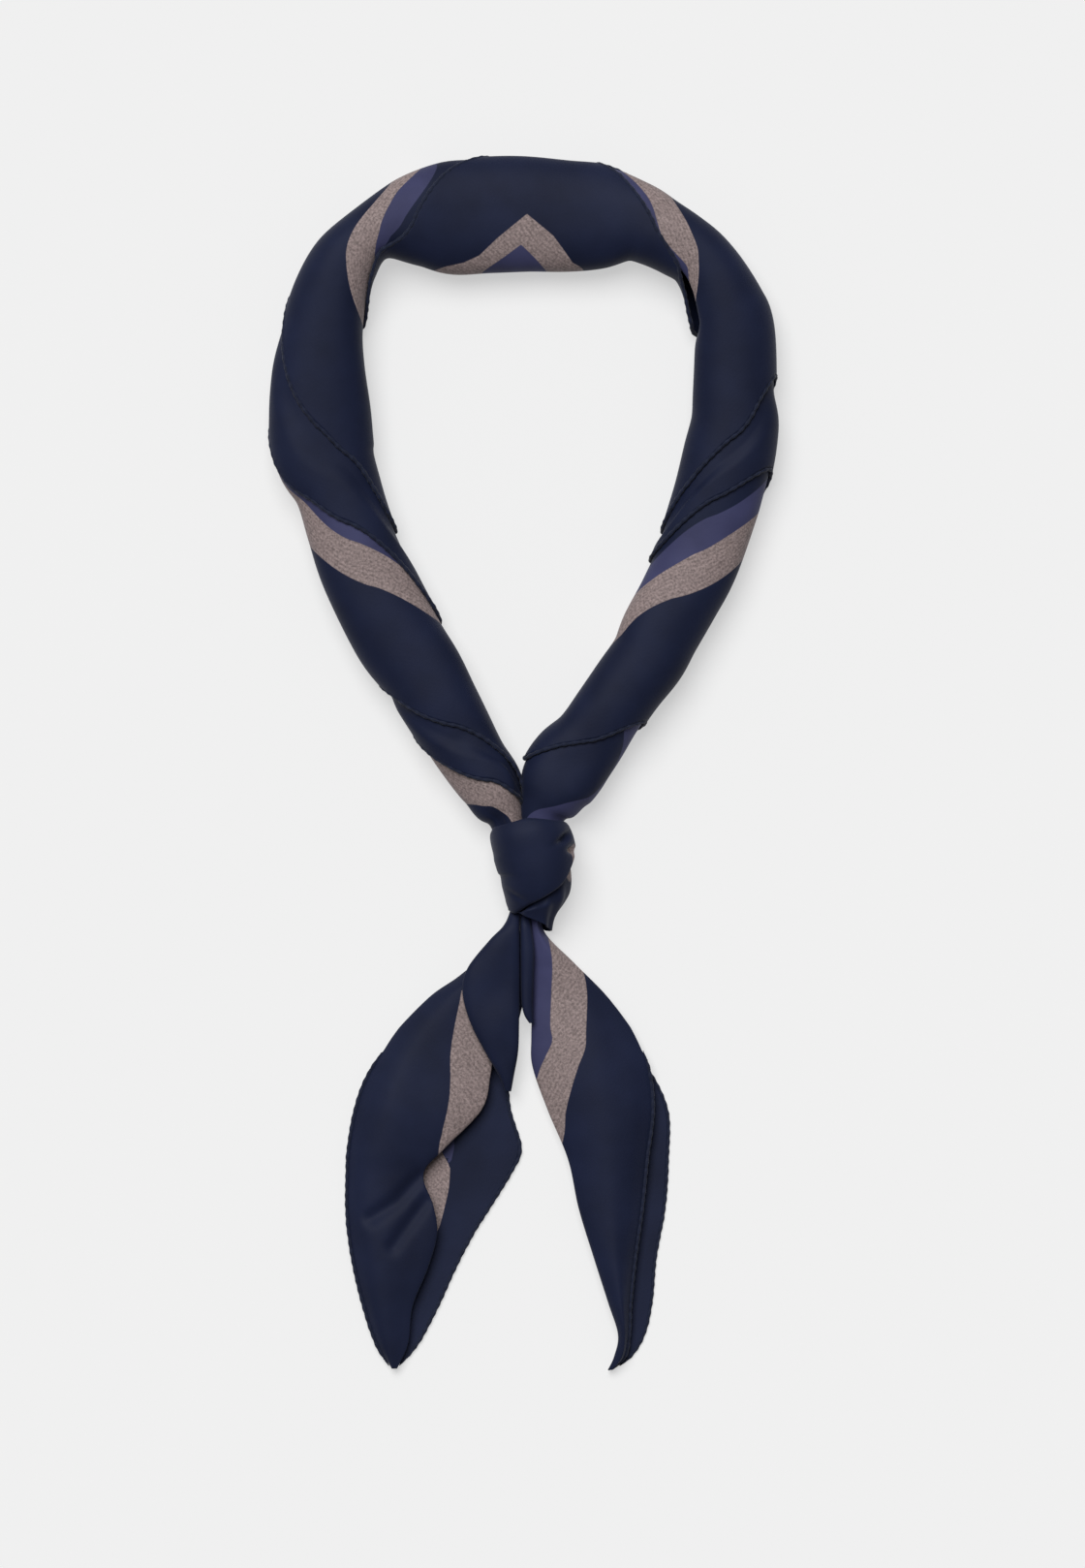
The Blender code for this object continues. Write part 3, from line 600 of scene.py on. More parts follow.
@dataclass(frozen=True)
class SilkTwill:
    """The finish of the cloth: navy with a violet-blue and a taupe stripe where the mesh says so."""

    name: str = "silk_twill"
    navy: tuple[float, float, float] = (0.0088, 0.0125, 0.0340)
    blue: tuple[float, float, float] = (0.0420, 0.0440, 0.1040)
    taupe: tuple[float, float, float] = (0.2340, 0.1840, 0.1790)
    roughness: float = 0.6
    specular: float = 0.11
    sheen: float = 0.06
    sheen_roughness: float = 0.45
    sheen_tint: tuple[float, float, float] = (0.55, 0.58, 0.75)
    patch_scale: float = 60.0
    patch_range: tuple[float, float] = (0.82, 1.18)
    edge: float = 0.00012
    weave: Weave = Weave()

    def material(self) -> Material:
        """Makes the material, whose colour follows the mesh's stripe measures."""
        nodes = Nodes(self.name)
        navy = nodes.add("ShaderNodeRGB", outputs={0: (*self.navy, 1.0)})
        blue = nodes.add("ShaderNodeRGB", outputs={0: (*self.blue, 1.0)})
        grain = nodes.grain(self.weave)
        dark = tuple(part * (1.0 - self.weave.speckle) for part in self.taupe)
        light = tuple(part * (1.0 + self.weave.speckle) for part in self.taupe)
        speckled = nodes.mix(grain, (*dark, 1.0), (*light, 1.0))
        colour = nodes.mix(nodes.mask("blue_in", self.edge), navy, blue)
        colour = nodes.tint(colour, nodes.cloud(self.patch_scale, *self.patch_range))
        relief = {"Height": grain, "Distance": self.weave.depth, "Strength": self.weave.strength}
        finish = {
            "Base Color": nodes.mix(nodes.mask("taupe_in", self.edge), colour, speckled),
            "Normal": nodes.add("ShaderNodeBump", relief),
            "Roughness": self.roughness,
            "Sheen Weight": self.sheen,
            "Sheen Roughness": self.sheen_roughness,
            "Sheen Tint": (*self.sheen_tint, 1.0),
            "Specular IOR Level": self.specular,
        }
        nodes.fill(nodes.shader, finish)
        return nodes.made


@dataclass(frozen=True)
class RolledHem:
    """The finish of the rolled and stitched edges."""

    name: str = "rolled_hem"
    navy: tuple[float, float, float] = (0.0105, 0.0140, 0.0320)
    roughness: float = 0.7
    specular: float = 0.12
    sheen: float = 0.10
    patch_scale: float = 900.0
    patch_range: tuple[float, float] = (0.75, 1.3)
    thread_scale: float = 2200.0
    thread_depth: float = 0.00005
    thread_strength: float = 0.7

    def material(self) -> Material:
        """Makes the material, a dull navy with the threads' fine unevenness."""
        nodes = Nodes(self.name)
        base = nodes.add("ShaderNodeRGB", outputs={0: (*self.navy, 1.0)})
        noise = {"Vector": nodes.place, "Scale": self.thread_scale, "Detail": 2.0}
        threads = nodes.add("ShaderNodeTexNoise", noise)
        relief = {"Height": threads, "Distance": self.thread_depth, "Strength": self.thread_strength}
        finish = {
            "Base Color": nodes.tint(base, nodes.cloud(self.patch_scale, *self.patch_range)),
            "Normal": nodes.add("ShaderNodeBump", relief),
            "Roughness": self.roughness,
            "Sheen Weight": self.sheen,
            "Specular IOR Level": self.specular,
        }
        nodes.fill(nodes.shader, finish)
        return nodes.made


class Nodes:
    """A material under construction."""

    def __init__(self, name: str) -> None:
        """Starts a material with a plain shader and the object's own coordinates."""
        self.made = bpy.data.materials.new(name)
        self.made.use_nodes = True
        self.tree = self.made.node_tree
        self.shader = self.tree.nodes["Principled BSDF"]
        self.place = self.tree.nodes.new("ShaderNodeTexCoord").outputs["Object"]

    def link(self, value: NodeSocket | Node, socket: NodeSocket) -> None:
        """Joins a node's first output, or a given output, to an input."""
        self.tree.links.new(value.outputs[0] if isinstance(value, Node) else value, socket)

    def fill(self, node: Node, inputs: dict) -> None:
        """Gives each named input of a node its value, or joins a node or socket to it."""
        for name, value in inputs.items():
            if isinstance(value, (Node, NodeSocket)):
                self.link(value, node.inputs[name])
            else:
                node.inputs[name].default_value = value

    def add(self, kind: str, inputs: dict | None = None, outputs: dict | None = None, **settings) -> Node:
        """Adds a node.

        Args:
            kind: The node's type.
            inputs: A value, node or socket for each input.
            outputs: Values that the node itself gives.
            settings: The node's other settings.

        Returns:
            The node.
        """
        node = self.tree.nodes.new(kind)
        for name, value in settings.items():
            setattr(node, name, value)
        self.fill(node, inputs or {})
        for name, value in (outputs or {}).items():
            node.outputs[name].default_value = value
        return node

    def mix(self, share: Node, first: object, second: object) -> NodeSocket:
        """Mixes two colours by a share."""
        # The node's sockets for colours are the inputs 6 and 7 and the output 2.
        inputs = {"Factor": share, 6: first, 7: second}
        return self.add("ShaderNodeMix", inputs, data_type="RGBA").outputs[2]

    def tint(self, colour: object, shade: Node) -> Node:
        """Makes a colour lighter or darker by a factor."""
        return self.add("ShaderNodeVectorMath", {0: colour, "Scale": shade}, operation="SCALE")

    def mask(self, measure: str, edge: float) -> Node:
        """How far a place is inside a stripe that the mesh measures, from 0 to 1."""
        inside = self.add("ShaderNodeAttribute", attribute_name=measure).outputs["Fac"]
        return self.add("ShaderNodeMapRange", {"Value": inside, "From Min": -edge, "From Max": edge})

    def cloud(self, scale: float, low: float, high: float) -> Node:
        """A soft uneven factor between low and high."""
        noise = self.add("ShaderNodeTexNoise", {"Vector": self.place, "Scale": scale, "Detail": 3.0})
        ends = {"From Min": 0.3, "From Max": 0.7, "To Min": low, "To Max": high}
        return self.add("ShaderNodeMapRange", {"Value": noise, **ends})

    def grain(self, weave: Weave) -> Node:
        """The twill's lines with the unevenness of its threads, from 0 to 1."""
        flat = self.add("ShaderNodeUVMap", uv_map="cloth")
        turned = self.add("ShaderNodeMapping", {"Vector": flat, "Rotation": (0.0, 0.0, weave.heading)})
        lines = self.add("ShaderNodeTexWave", {"Vector": turned, "Scale": WAVE_PITCH / weave.rib})
        noise = {"Vector": self.place, "Scale": NOISE_PITCH / weave.pitch, "Detail": 3.0, "Roughness": 0.7}
        threads = self.add("ShaderNodeTexNoise", noise)
        spread = self.add("ShaderNodeMapRange", {"Value": threads, "From Min": 0.33, "From Max": 0.67})
        share = self.add("ShaderNodeMath", {0: spread, 1: 1.0 - weave.lines}, operation="MULTIPLY")
        return self.add("ShaderNodeMath", {0: lines, 1: weave.lines, 2: share}, operation="MULTIPLY_ADD")


class Roll:
    """A bundle of cloth that follows a line on the table, with a flattened section around the line."""

    def __init__(self, rows: Array, middle: int) -> None:
        """Follows the line.

        Args:
            rows: x, y, width and height in metres at each station.
            middle: The station from which lengths are counted.
        """
        number = np.arange((len(rows) - 1) * PATH_SAMPLES + 1)
        self.samples = spline(rows, number / PATH_SAMPLES)
        steps = np.linalg.norm(np.diff(self.samples[:, :2], axis=0), axis=1)
        lengths = np.concatenate([[0.0], np.cumsum(steps)])
        ahead = self.samples[np.minimum(number + HEADING_SAMPLES, number[-1]), :2]
        chord = ahead - self.samples[np.maximum(number - HEADING_SAMPLES, 0), :2]
        self.directions = chord / np.linalg.norm(chord, axis=1)[:, None]
        self.lengths = lengths - lengths[middle * PATH_SAMPLES]

    def point(self, length: Array, around: Array, inset: Array, lift: Array) -> Array:
        """Points on the cloth.

        Args:
            length: How far along the roll.
            around: The share of the way round, from the roll's left over its top.
            inset: How far inside the roll's outline.
            lift: How far the roll's underside is off the table.

        Returns:
            A point for each.
        """
        x, y, width, height = (np.interp(length, self.lengths, column) for column in self.samples.T)
        ahead_x, ahead_y = (np.interp(length, self.lengths, column) for column in self.directions.T)
        size = np.hypot(ahead_x, ahead_y)
        angle = 2 * np.pi * around
        full_up = height / (1 + SIZES.seat_share)
        seat = SIZES.seat_share * full_up
        power = 2 / SIZES.squareness
        across = (width / 2 - inset) * np.sign(np.cos(angle)) * np.abs(np.cos(angle)) ** power / size
        up = (full_up - inset) * np.sign(np.sin(angle)) * np.abs(np.sin(angle)) ** power
        rise = seat + lift + np.maximum(up, inset - seat)
        return np.stack([x - ahead_y * across, y + ahead_x * across, rise], -1)


class Draper:
    """Makes the pieces of cloth and hem, hangs them under the root body and hides the imported parts they
    stand for.
    """

    def __init__(self) -> None:
        """Makes the two finishes. The pieces are placed later."""
        self.silk = SilkTwill().material()
        self.hem = RolledHem().material()
        self.offset = Vector((0.0, 0.0, 0.0))

    def lay(self, offset: Vector) -> None:
        """Sets how far the part's own lines are from the frame's origin."""
        self.offset = offset

    def mesh(self, name: str, points: Array, faces: Array) -> Object:
        """Makes a smooth mesh object.

        Args:
            name: The object's name.
            points: Its corners, before they are moved to the frame's origin.
            faces: The corners of each face.

        Returns:
            The object, in the scene.
        """
        made = bpy.data.meshes.new(name)
        made.from_pydata((points.reshape(-1, 3) + np.array(self.offset)).tolist(), [], faces.tolist())
        made.shade_smooth()
        return new_object(name, made)

    def dress(self, obj: Object, node: str, slot: str) -> Object:
        """Gives a piece its finish, hangs it under the root body and hides the node's imported part."""
        obj.data.materials.append(self.silk if slot == "silk_twill" else self.hem)
        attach(obj, "root")
        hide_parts(node)
        return obj

    def cloth(
        self,
        node: str,
        points: Array,
        flat: tuple[Array, Array],
        stripes: dict[str, Array],
        closed: bool,
        flip: bool,
    ) -> Object:
        """Makes a sheet of cloth from rows of points.

        Args:
            node: The node that the sheet stands for.
            points: Rows and columns of points on its face.
            flat: For each point, where it lies on the flat cloth, in metres.
            stripes: For each stripe, how far each point is inside it, in metres.
            closed: Whether the last column joins the first.
            flip: Whether the face is on the other side.

        Returns:
            The sheet.
        """
        rows, columns = points.shape[:2]
        numbers = np.arange(rows * columns).reshape(rows, columns)
        first = numbers if closed else numbers[:, :-1]
        second = np.roll(numbers, -1, axis=1) if closed else numbers[:, 1:]
        faces = np.stack([first[:-1], second[:-1], second[1:], first[1:]], -1).reshape(-1, 4)
        obj = self.mesh(node + "_silk", points, faces[:, ::-1] if flip else faces)
        across, along = (part.ravel().copy() for part in flat)
        layer = obj.data.uv_layers.new(name="cloth")
        corners = np.empty(len(obj.data.loops), dtype=np.int32)
        obj.data.loops.foreach_get("vertex_index", corners)
        places = np.stack([across[corners], along[corners]], -1)
        layer.data.foreach_set("uv", places.ravel().astype(np.float32))
        for name in ("taupe_in", "blue_in"):
            values = np.broadcast_to(stripes.get(name, np.full((1, 1), NOWHERE)), (rows, columns))
            attribute = obj.data.attributes.new(name, "FLOAT", "POINT")
            attribute.data.foreach_set("value", values.ravel().astype(np.float32))
        wall = obj.modifiers.new("Thickness", "SOLIDIFY")
        wall.thickness = SIZES.cloth
        wall.offset = -1.0
        self.declare(obj, points, closed)
        return self.dress(obj, node, "silk_twill")

    def turn(
        self,
        node: str,
        points: Array,
        around: Array,
        length: Array,
        cut: float,
        stripes: dict[str, Array],
        flip: bool = False,
    ) -> Object:
        """Makes a closed turn of cloth that is cut a given width round."""
        flat = (np.broadcast_to(around * cut, length.shape), length)
        return self.cloth(node, points, flat, stripes, True, flip)

    def declare(self, obj: Object, points: Array, closed: bool) -> None:
        """Notes how large the sheet is when it is laid out flat."""
        ring = np.concatenate([points, points[:, :1]], axis=1) if closed else points
        along, across = np.diff(ring, axis=0), np.diff(ring, axis=1)
        width = max(SIZES.narrowest_cut, float(np.linalg.norm(across, axis=2).sum(axis=1).mean()))
        area = float(np.linalg.norm(np.cross(along[:, :-1], across[:-1]), axis=2).sum())
        obj["flat_width"] = round(width, 4)
        obj["flat_length"] = round(max(SIZES.narrowest_cut, area / width), 4)

    def sheet(self, obj: Object, held: str, hems: list[Object]) -> None:
        """Logs how large a sheet of cloth is when laid out flat, and how it is held."""
        flat = (obj["flat_width"], obj["flat_length"])
        LOG.info("%s: %d mm by %d mm of cloth, %s", obj.name, flat[0] * 1000, flat[1] * 1000, held)

    def tube(self, path: Array, outward: Array, radius: Array, closed: bool, sides: int) -> tuple:
        """Works out a round tube along a path.

        Args:
            path: The points that it follows.
            outward: A direction beside the path at each point.
            radius: Its radius at each point.
            closed: Whether the ends meet.
            sides: How many sides it has.

        Returns:
            Its corners and its faces.
        """
        ahead = np.roll(path, -1, axis=0) - np.roll(path, 1, axis=0)
        if not closed:
            ahead[0], ahead[-1] = path[1] - path[0], path[-1] - path[-2]
        ahead /= np.linalg.norm(ahead, axis=1)[:, None]
        out = outward - ahead * (outward * ahead).sum(axis=1)[:, None]
        out /= np.linalg.norm(out, axis=1)[:, None]
        beside = np.cross(ahead, out)
        angle = 2 * np.pi * np.arange(sides) / sides
        ring = out[:, None] * np.cos(angle)[None, :, None] + beside[:, None] * np.sin(angle)[None, :, None]
        corners = path[:, None] + ring * radius[:, None, None]
        numbers = np.arange(len(path) * sides).reshape(len(path), sides)
        ahead_numbers = np.roll(numbers, -1, axis=0) if closed else numbers[1:]
        first = numbers if closed else numbers[:-1]
        turned, ahead_turned = np.roll(first, -1, axis=1), np.roll(ahead_numbers, -1, axis=1)
        faces = np.stack([first, turned, ahead_turned, ahead_numbers], -1).reshape(-1, 4)
        return corners.reshape(-1, 3), faces

    def hem_roll(self, node: str, path: Array, outward: Array, closed: bool) -> Object:
        """Makes a rolled hem: a bead that is drawn in at each stitch, and the stitches over it.

        Args:
            node: The node that the hem stands for.
            path: The middle of the bead.
            outward: The direction off the cloth at each point.
            closed: Whether it goes all the way round.

        Returns:
            The hem.
        """
        ring = np.concatenate([path, path[:1]]) if closed else path
        run = np.concatenate([[0.0], np.cumsum(np.linalg.norm(np.diff(ring, axis=0), axis=1))])
        count = max(2, round(run[-1] / STITCHES.pitch))
        steps = count * STITCHES.steps + (0 if closed else 1)
        places = np.arange(steps) * run[-1] / (count * STITCHES.steps)
        faced = np.concatenate([outward, outward[:1]]) if closed else outward
        path = np.stack([np.interp(places, run, part) for part in ring.T], -1)
        outward = np.stack([np.interp(places, run, part) for part in faced.T], -1)
        turn = places / run[-1] * count
        uneven = 1.0 + STITCHES.uneven * waves([turn / 3.0], len(node))
        drawn = STITCHES.thickness - STITCHES.drawn_in * np.cos(2 * np.pi * turn)
        radius = SIZES.hem_radius * drawn * uneven
        if not closed:
            ends = smooth(np.minimum(turn, count - turn) / 2.0)
            radius = radius * (STITCHES.end + (1.0 - STITCHES.end) * ends)
        points, faces = self.tube(path, outward, radius, closed, STITCHES.bead_sides)
        parts, numbers = [points], [faces]
        angle = np.linspace(-STITCHES.wrapped, STITCHES.wrapped, STITCHES.thread_points)[:, None]
        thick = np.full(STITCHES.thread_points, STITCHES.thread)
        for here in range(0, count * STITCHES.steps, STITCHES.steps):
            ahead = path[(here + 1) % len(path)] - path[here - 1 if closed or here else 0]
            ahead = ahead / np.linalg.norm(ahead)
            out = outward[here] / np.linalg.norm(outward[here])
            rise = out * np.cos(angle) + np.cross(ahead, out) * np.sin(angle)
            thread = path[here] + rise * radius[here] * STITCHES.reach + ahead * angle * STITCHES.slant
            more, joined = self.tube(thread, rise, thick, False, STITCHES.thread_sides)
            numbers.append(joined + sum(len(part) for part in parts))
            parts.append(more)
        obj = self.mesh(node + "_bead", np.concatenate(parts), np.concatenate(numbers))
        return self.dress(obj, node, "rolled_hem")


@dataclass
class Arm:
    """One arm of the neck loop: a chain of turns, each coming out of the mouth of the one before it."""

    draper: Draper
    roll: Roll
    side: Side
    mouths: dict[str, Slant | Rim]
    ripple: float = 0.00030
    ripple_pitch: float = 0.055
    ripple_round: float = 0.35
    gather: float = 0.00022
    gather_pitch: float = 0.06
    tuck_share: float = 0.6
    hem_shift: float = 0.8
    hem_probe: float = 0.001
    last_girth: float = 0.055
    drawn_from: float = 0.70
    drawn_over: float = 0.25
    length: float = field(init=False)
    chain: list[Slant | Rim] = field(init=False)

    def __post_init__(self) -> None:
        """Measures the arm from the back of the neck to the knot's upper mouth."""
        inside = INSIDE_KNOT * PATH_SAMPLES
        ends = {Side.LEFT: -self.roll.lengths[inside], Side.RIGHT: self.roll.lengths[-1 - inside]}
        self.length = ends[self.side]
        self.chain = list(self.mouths.values())

    def lift(self, length: Array) -> Array:
        """How high the roll's underside is, which is more inside the knot."""
        lift = SIZES.table_lift
        for start, end in KNOT_STEPS:
            risen = (length / self.length - start) / (end - start)
            lift = lift + SIZES.knot_wall * np.clip(risen, 0.0, 1.0)
        return lift

    def relief(self, length: Array, around: Array) -> Array:
        """How far the cloth stands proud of the plain roll: soft ripples, and gathers towards the knot."""
        angle = 2 * np.pi * around
        seed = 11 if self.side is Side.LEFT else 23
        broad = ripples(length, around, self.ripple_pitch, self.ripple_round, seed)
        share = length / self.length
        drawn = smooth((share - self.drawn_from) / self.drawn_over)
        phase = 1.4 * waves([length / self.gather_pitch], seed + 1)
        pleats = np.cos(3 * angle + phase) + 0.6 * np.cos(5 * angle - 2 * phase)
        return self.ripple * broad + self.gather * drawn * pleats

    def point(self, length: Array, around: Array, inset: Array) -> Array:
        """Points on the arm, with around counted from the loop's outer side over the top."""
        held = inset - self.relief(length, around)
        return self.roll.point(self.side.value * length, around, held, self.lift(length))

    def edge(self, number: int, around: Array) -> Array:
        """How far along the arm the mouth before a turn is."""
        return self.length * self.chain[number].at(around)

    def room(self, number: int, around: Array) -> Array:
        """How far a turn runs on under the hem before it rises, which is more on the loop's inner side."""
        room = SIZES.hem_room * (1.0 + SIZES.inner_room * (1.0 - np.cos(2 * np.pi * around)))
        return np.minimum(room, 0.5 * (self.edge(number + 1, around) - self.edge(number, around)))

    def inset(self, number: int, length: Array, around: Array) -> Array:
        """How far under the roll's outline a turn lies: a layer under the one before it, until it rises."""
        if number < 0:
            return np.zeros(np.broadcast(length, around).shape)
        start, end = self.edge(number, around), self.edge(number + 1, around)
        room = self.room(number, around)
        rise = (length - start - room) / np.maximum(end - start - room, SIZES.cloth) / SIZES.settled_share
        under = SIZES.layer + self.inset(number - 1, length, around)
        return np.where(length < start + room / 2, under, SIZES.layer * (1.0 - smooth(rise)))

    def colours(self, name: str, length: Array, around: Array) -> dict[str, Array]:
        """How far each point of a turn is inside the stripes.

        Args:
            name: The turn.
            length: How far along the arm each point is.
            around: Its share of the way round.

        Returns:
            The distances in metres, by stripe.
        """
        share = length / self.length
        if name == "right_turn_4":
            blue = (through(RIGHT_LAST_BLUE, share) - np.abs(signed_turn(around))) * self.last_girth
            taupe = np.minimum((share - RIGHT_LAST_TAUPE.at(around)) * self.length, blue)
            return {"taupe_in": taupe, "blue_in": np.minimum(blue, -taupe)}
        if name not in STRIPES:
            return {}
        lines = STRIPES[name]
        low = lines.navy_to_taupe.at(around)
        middle = np.minimum(lines.taupe_to_blue.at(around), low - TAUPE_LEAST)
        high = np.minimum(lines.blue_to_navy.at(around), middle - BLUE_LEAST)
        taupe = np.minimum(low - share, share - middle)
        blue = np.minimum(middle - share, share - high)
        if name == "right_turn_1":
            taupe = np.minimum(taupe, RIGHT_TAUPE_SIDE - around)
        return {"taupe_in": taupe * self.length, "blue_in": blue * self.length}

    def turn(self, number: int, name: str) -> Object:
        """Makes one turn of cloth.

        Args:
            number: Its place in the chain, from 0.
            name: Its node.

        Returns:
            The sheet.
        """
        around = shares_round(COLUMNS)
        mouth = self.edge(number, around)
        free = SIZES.tuck_in
        if number:
            gap = mouth - self.edge(number - 1, around) - self.room(number - 1, around)
            free = np.minimum(free, self.tuck_share * gap)
        start, end = mouth - free, self.edge(number + 1, around)
        length = between(start, end, row_shares(start, end))
        inset = self.inset(number, length, around)
        for dent in DENTS.get(name, ()):
            inset = inset + dent.at(length / self.length, around)
        points = self.point(length, around, inset)
        stripes = self.colours(name, length, around)
        flip = self.side is Side.LEFT
        return self.draper.turn(name, points, around, length, SIZES.roll_cut, stripes, flip)

    def hem(self, number: int, node: str) -> Object:
        """Makes the rolled hem round the mouth before a turn."""
        around = shares_round(COLUMNS * 2)[0]
        place = self.edge(number, around) + self.hem_shift * SIZES.hem_radius
        inset = np.full(len(around), SIZES.layer - SIZES.hem_radius)
        path = self.point(place, around, inset)
        outward = self.point(place, around, inset - self.hem_probe) - path
        low = path[:, 2] < SIZES.hem_radius
        path[low, 2] = SIZES.hem_radius
        outward[:, 2] -= 0.1 * self.hem_probe * (np.linalg.norm(outward, axis=1) < 0.2 * self.hem_probe)
        return self.draper.hem_roll(node, path, outward, True)

    def build(self) -> None:
        """Makes the arm's turns and their hems."""
        names = list(self.mouths)[1:]
        for number, name in enumerate(names):
            silk = self.turn(number, name)
            hems = [self.hem(number + 1, name + "_hem")] if number < len(names) - 1 else []
            self.draper.sheet(silk, "folded", hems)


@dataclass
class BackTurn:
    """The outermost turn, round the back of the neck, with a hemmed mouth at each end."""

    draper: Draper
    left: Arm
    right: Arm
    blend_over: float = 0.02
    line_lean: float = 0.72
    underside: float = 0.004

    def place(self, length: Array, around: Array) -> Array:
        """Points on the turn, from lengths counted to the right. The arms' ripples blend in its middle."""
        left = self.left.point(-length, around, np.zeros(length.shape))
        right = self.right.point(length, around, np.zeros(length.shape))
        blend = smooth(length / self.blend_over + 0.5)[..., None]
        return left * (1.0 - blend) + right * blend

    def grid(self) -> tuple[Array, Array, Array]:
        """The lengths, shares round and points of the turn's face."""
        around = shares_round(COLUMNS)
        start, end = -self.left.edge(0, around), self.right.edge(0, around)
        length = between(start, end, row_shares(start, end))
        return length, np.broadcast_to(around, length.shape), self.place(length, around)

    def corner(self, points: Array) -> dict[str, Array]:
        """How far each point is inside the stripes of the corner that shows at the back of the neck."""
        across = points[..., 0] * 2 / SIZES.loop_width
        below = []
        for cuts in (CORNER_OUTER, CORNER_INNER):
            lines, marks = np.array(cuts).T
            line = np.interp(across, marks, lines)
            below.append((-points[..., 1] - line * SIZES.loop_length) * self.line_lean)
        above = points[..., 2] > self.underside
        return {
            "taupe_in": np.where(above, np.minimum(below[0], -below[1]), NOWHERE),
            "blue_in": np.where(above, below[1], NOWHERE),
        }

    def build(self) -> None:
        """Makes the turn and its two hems."""
        length, around, points = self.grid()
        silk = self.draper.turn("back_turn", points, around, length, SIZES.roll_cut, self.corner(points))
        hems = [self.left.hem(0, "back_turn_left_hem"), self.right.hem(0, "back_turn_right_hem")]
        self.draper.sheet(silk, "folded", hems)


@dataclass
class Knot:
    """The wrap over the front of the knot, and the turn that comes out from under it."""

    draper: Draper
    lip: float = 0.0009
    under: float = 0.0027
    lip_return: float = 0.002
    ripple: float = 0.00026
    ripple_pitch: float = 0.016
    ripple_round: float = 0.5
    seed: int = 37
    under_risen: float = 0.75
    pucker: float = 0.00035
    pucker_pitch: float = 0.02
    puckers: int = 9
    sliver: float = 0.0018
    sliver_length: float = 0.0152
    sliver_around: float = 0.026
    sliver_narrow: float = 0.46
    lip_steps: int = 9
    return_steps: int = 4
    columns: int = 156
    rows: int = 80
    roll: Roll = field(init=False)

    def __post_init__(self) -> None:
        """Follows the knot's own line, from its upper mouth down to its lower one."""
        scale = (SIZES.knot_width, -SIZES.knot_length, SIZES.knot_width, SIZES.knot_height)
        self.roll = Roll(np.array(KNOT) * scale - (0.0, SIZES.loop_length, 0.0, 0.0), 0)

    def relief(self, length: Array, around: Array) -> Array:
        """Soft dents in the wrap, and the creases at its right side and its lower left."""
        broad = ripples(length, around, self.ripple_pitch, self.ripple_round, self.seed)
        return self.ripple * broad - sum(pinch.at(length, around) for pinch in KNOT_PINCHES)

    def point(self, length: Array, around: Array, inset: Array) -> Array:
        """Points on the knot, with around counted from its right side over the top."""
        held = inset - self.relief(length, around)
        return self.roll.point(length, around, held, np.zeros(length.shape))

    def end(self, slant: Slant, around: Array) -> Array:
        """How far down the knot a slanted edge is."""
        return SIZES.knot_length * slant.at(0.5 - around)

    def colours(self, length: Array, around: Array) -> dict[str, Array]:
        """How far each point is inside the sliver of taupe at the knot's right side."""
        away = (length - self.sliver_length) * self.sliver_narrow
        return {"taupe_in": self.sliver - np.hypot(away, (around - self.sliver_around) * SIZES.side_cut)}

    def wrap(self) -> Object:
        """Makes the wrap, whose upper and lower edges are folds of the cloth."""
        around = shares_round(self.columns)
        start, end = self.end(KNOT_TOP, around), self.end(KNOT_WRAP_END, around)
        turn = np.linspace(0.0, np.pi, self.lip_steps)[:, None]
        back = np.linspace(self.lip_return, 0.0, self.return_steps)[:-1, None]
        span = np.linspace(0.0, 1.0, self.rows)[1:-1, None]
        ones = np.ones(around.shape)
        lengths = [
            start + self.lip + back,
            start + self.lip * (1.0 - np.sin(turn)),
            start + self.lip + (end - start - 2 * self.lip) * span,
            end - self.lip * (1.0 - np.sin(turn)),
            end - self.lip - back[::-1],
        ]
        insets = [
            2 * self.lip * ones + 0 * back,
            self.lip * (1.0 + np.cos(turn)) * ones,
            0 * span * ones,
            self.lip * (1.0 - np.cos(turn)) * ones,
            2 * self.lip * ones + 0 * back,
        ]
        length, inset = np.concatenate(lengths), np.concatenate(insets)
        points = self.point(length, around, inset)
        stripes = self.colours(length, around)
        return self.draper.turn("knot_wrap", points, around, length, SIZES.wrap_cut, stripes)

    def under_turn(self) -> Object:
        """Makes the turn that comes out from under the wrap, with its puckers."""
        around = shares_round(self.columns)
        wrap_end = self.end(KNOT_WRAP_END, around)
        start, end = wrap_end - SIZES.tuck_in, self.end(KNOT_UNDER_END, around)
        length = between(start, end, np.linspace(0.0, 1.0, self.rows)[:, None])
        risen = smooth((length - wrap_end) / (end - wrap_end) / SIZES.settled_share)
        phase = self.puckers * around + length / self.pucker_pitch
        pucker = self.pucker * np.cos(2 * np.pi * phase) * risen
        points = self.point(length, around, self.under * (1.0 - self.under_risen * risen) - pucker)
        stripes = self.colours(length, around)
        return self.draper.turn("knot_under_turn", points, around, length, SIZES.under_cut, stripes)

    def build(self) -> None:
        """Makes both turns of the knot."""
        for silk in (self.wrap(), self.under_turn()):
            self.draper.sheet(silk, "gathered", [])


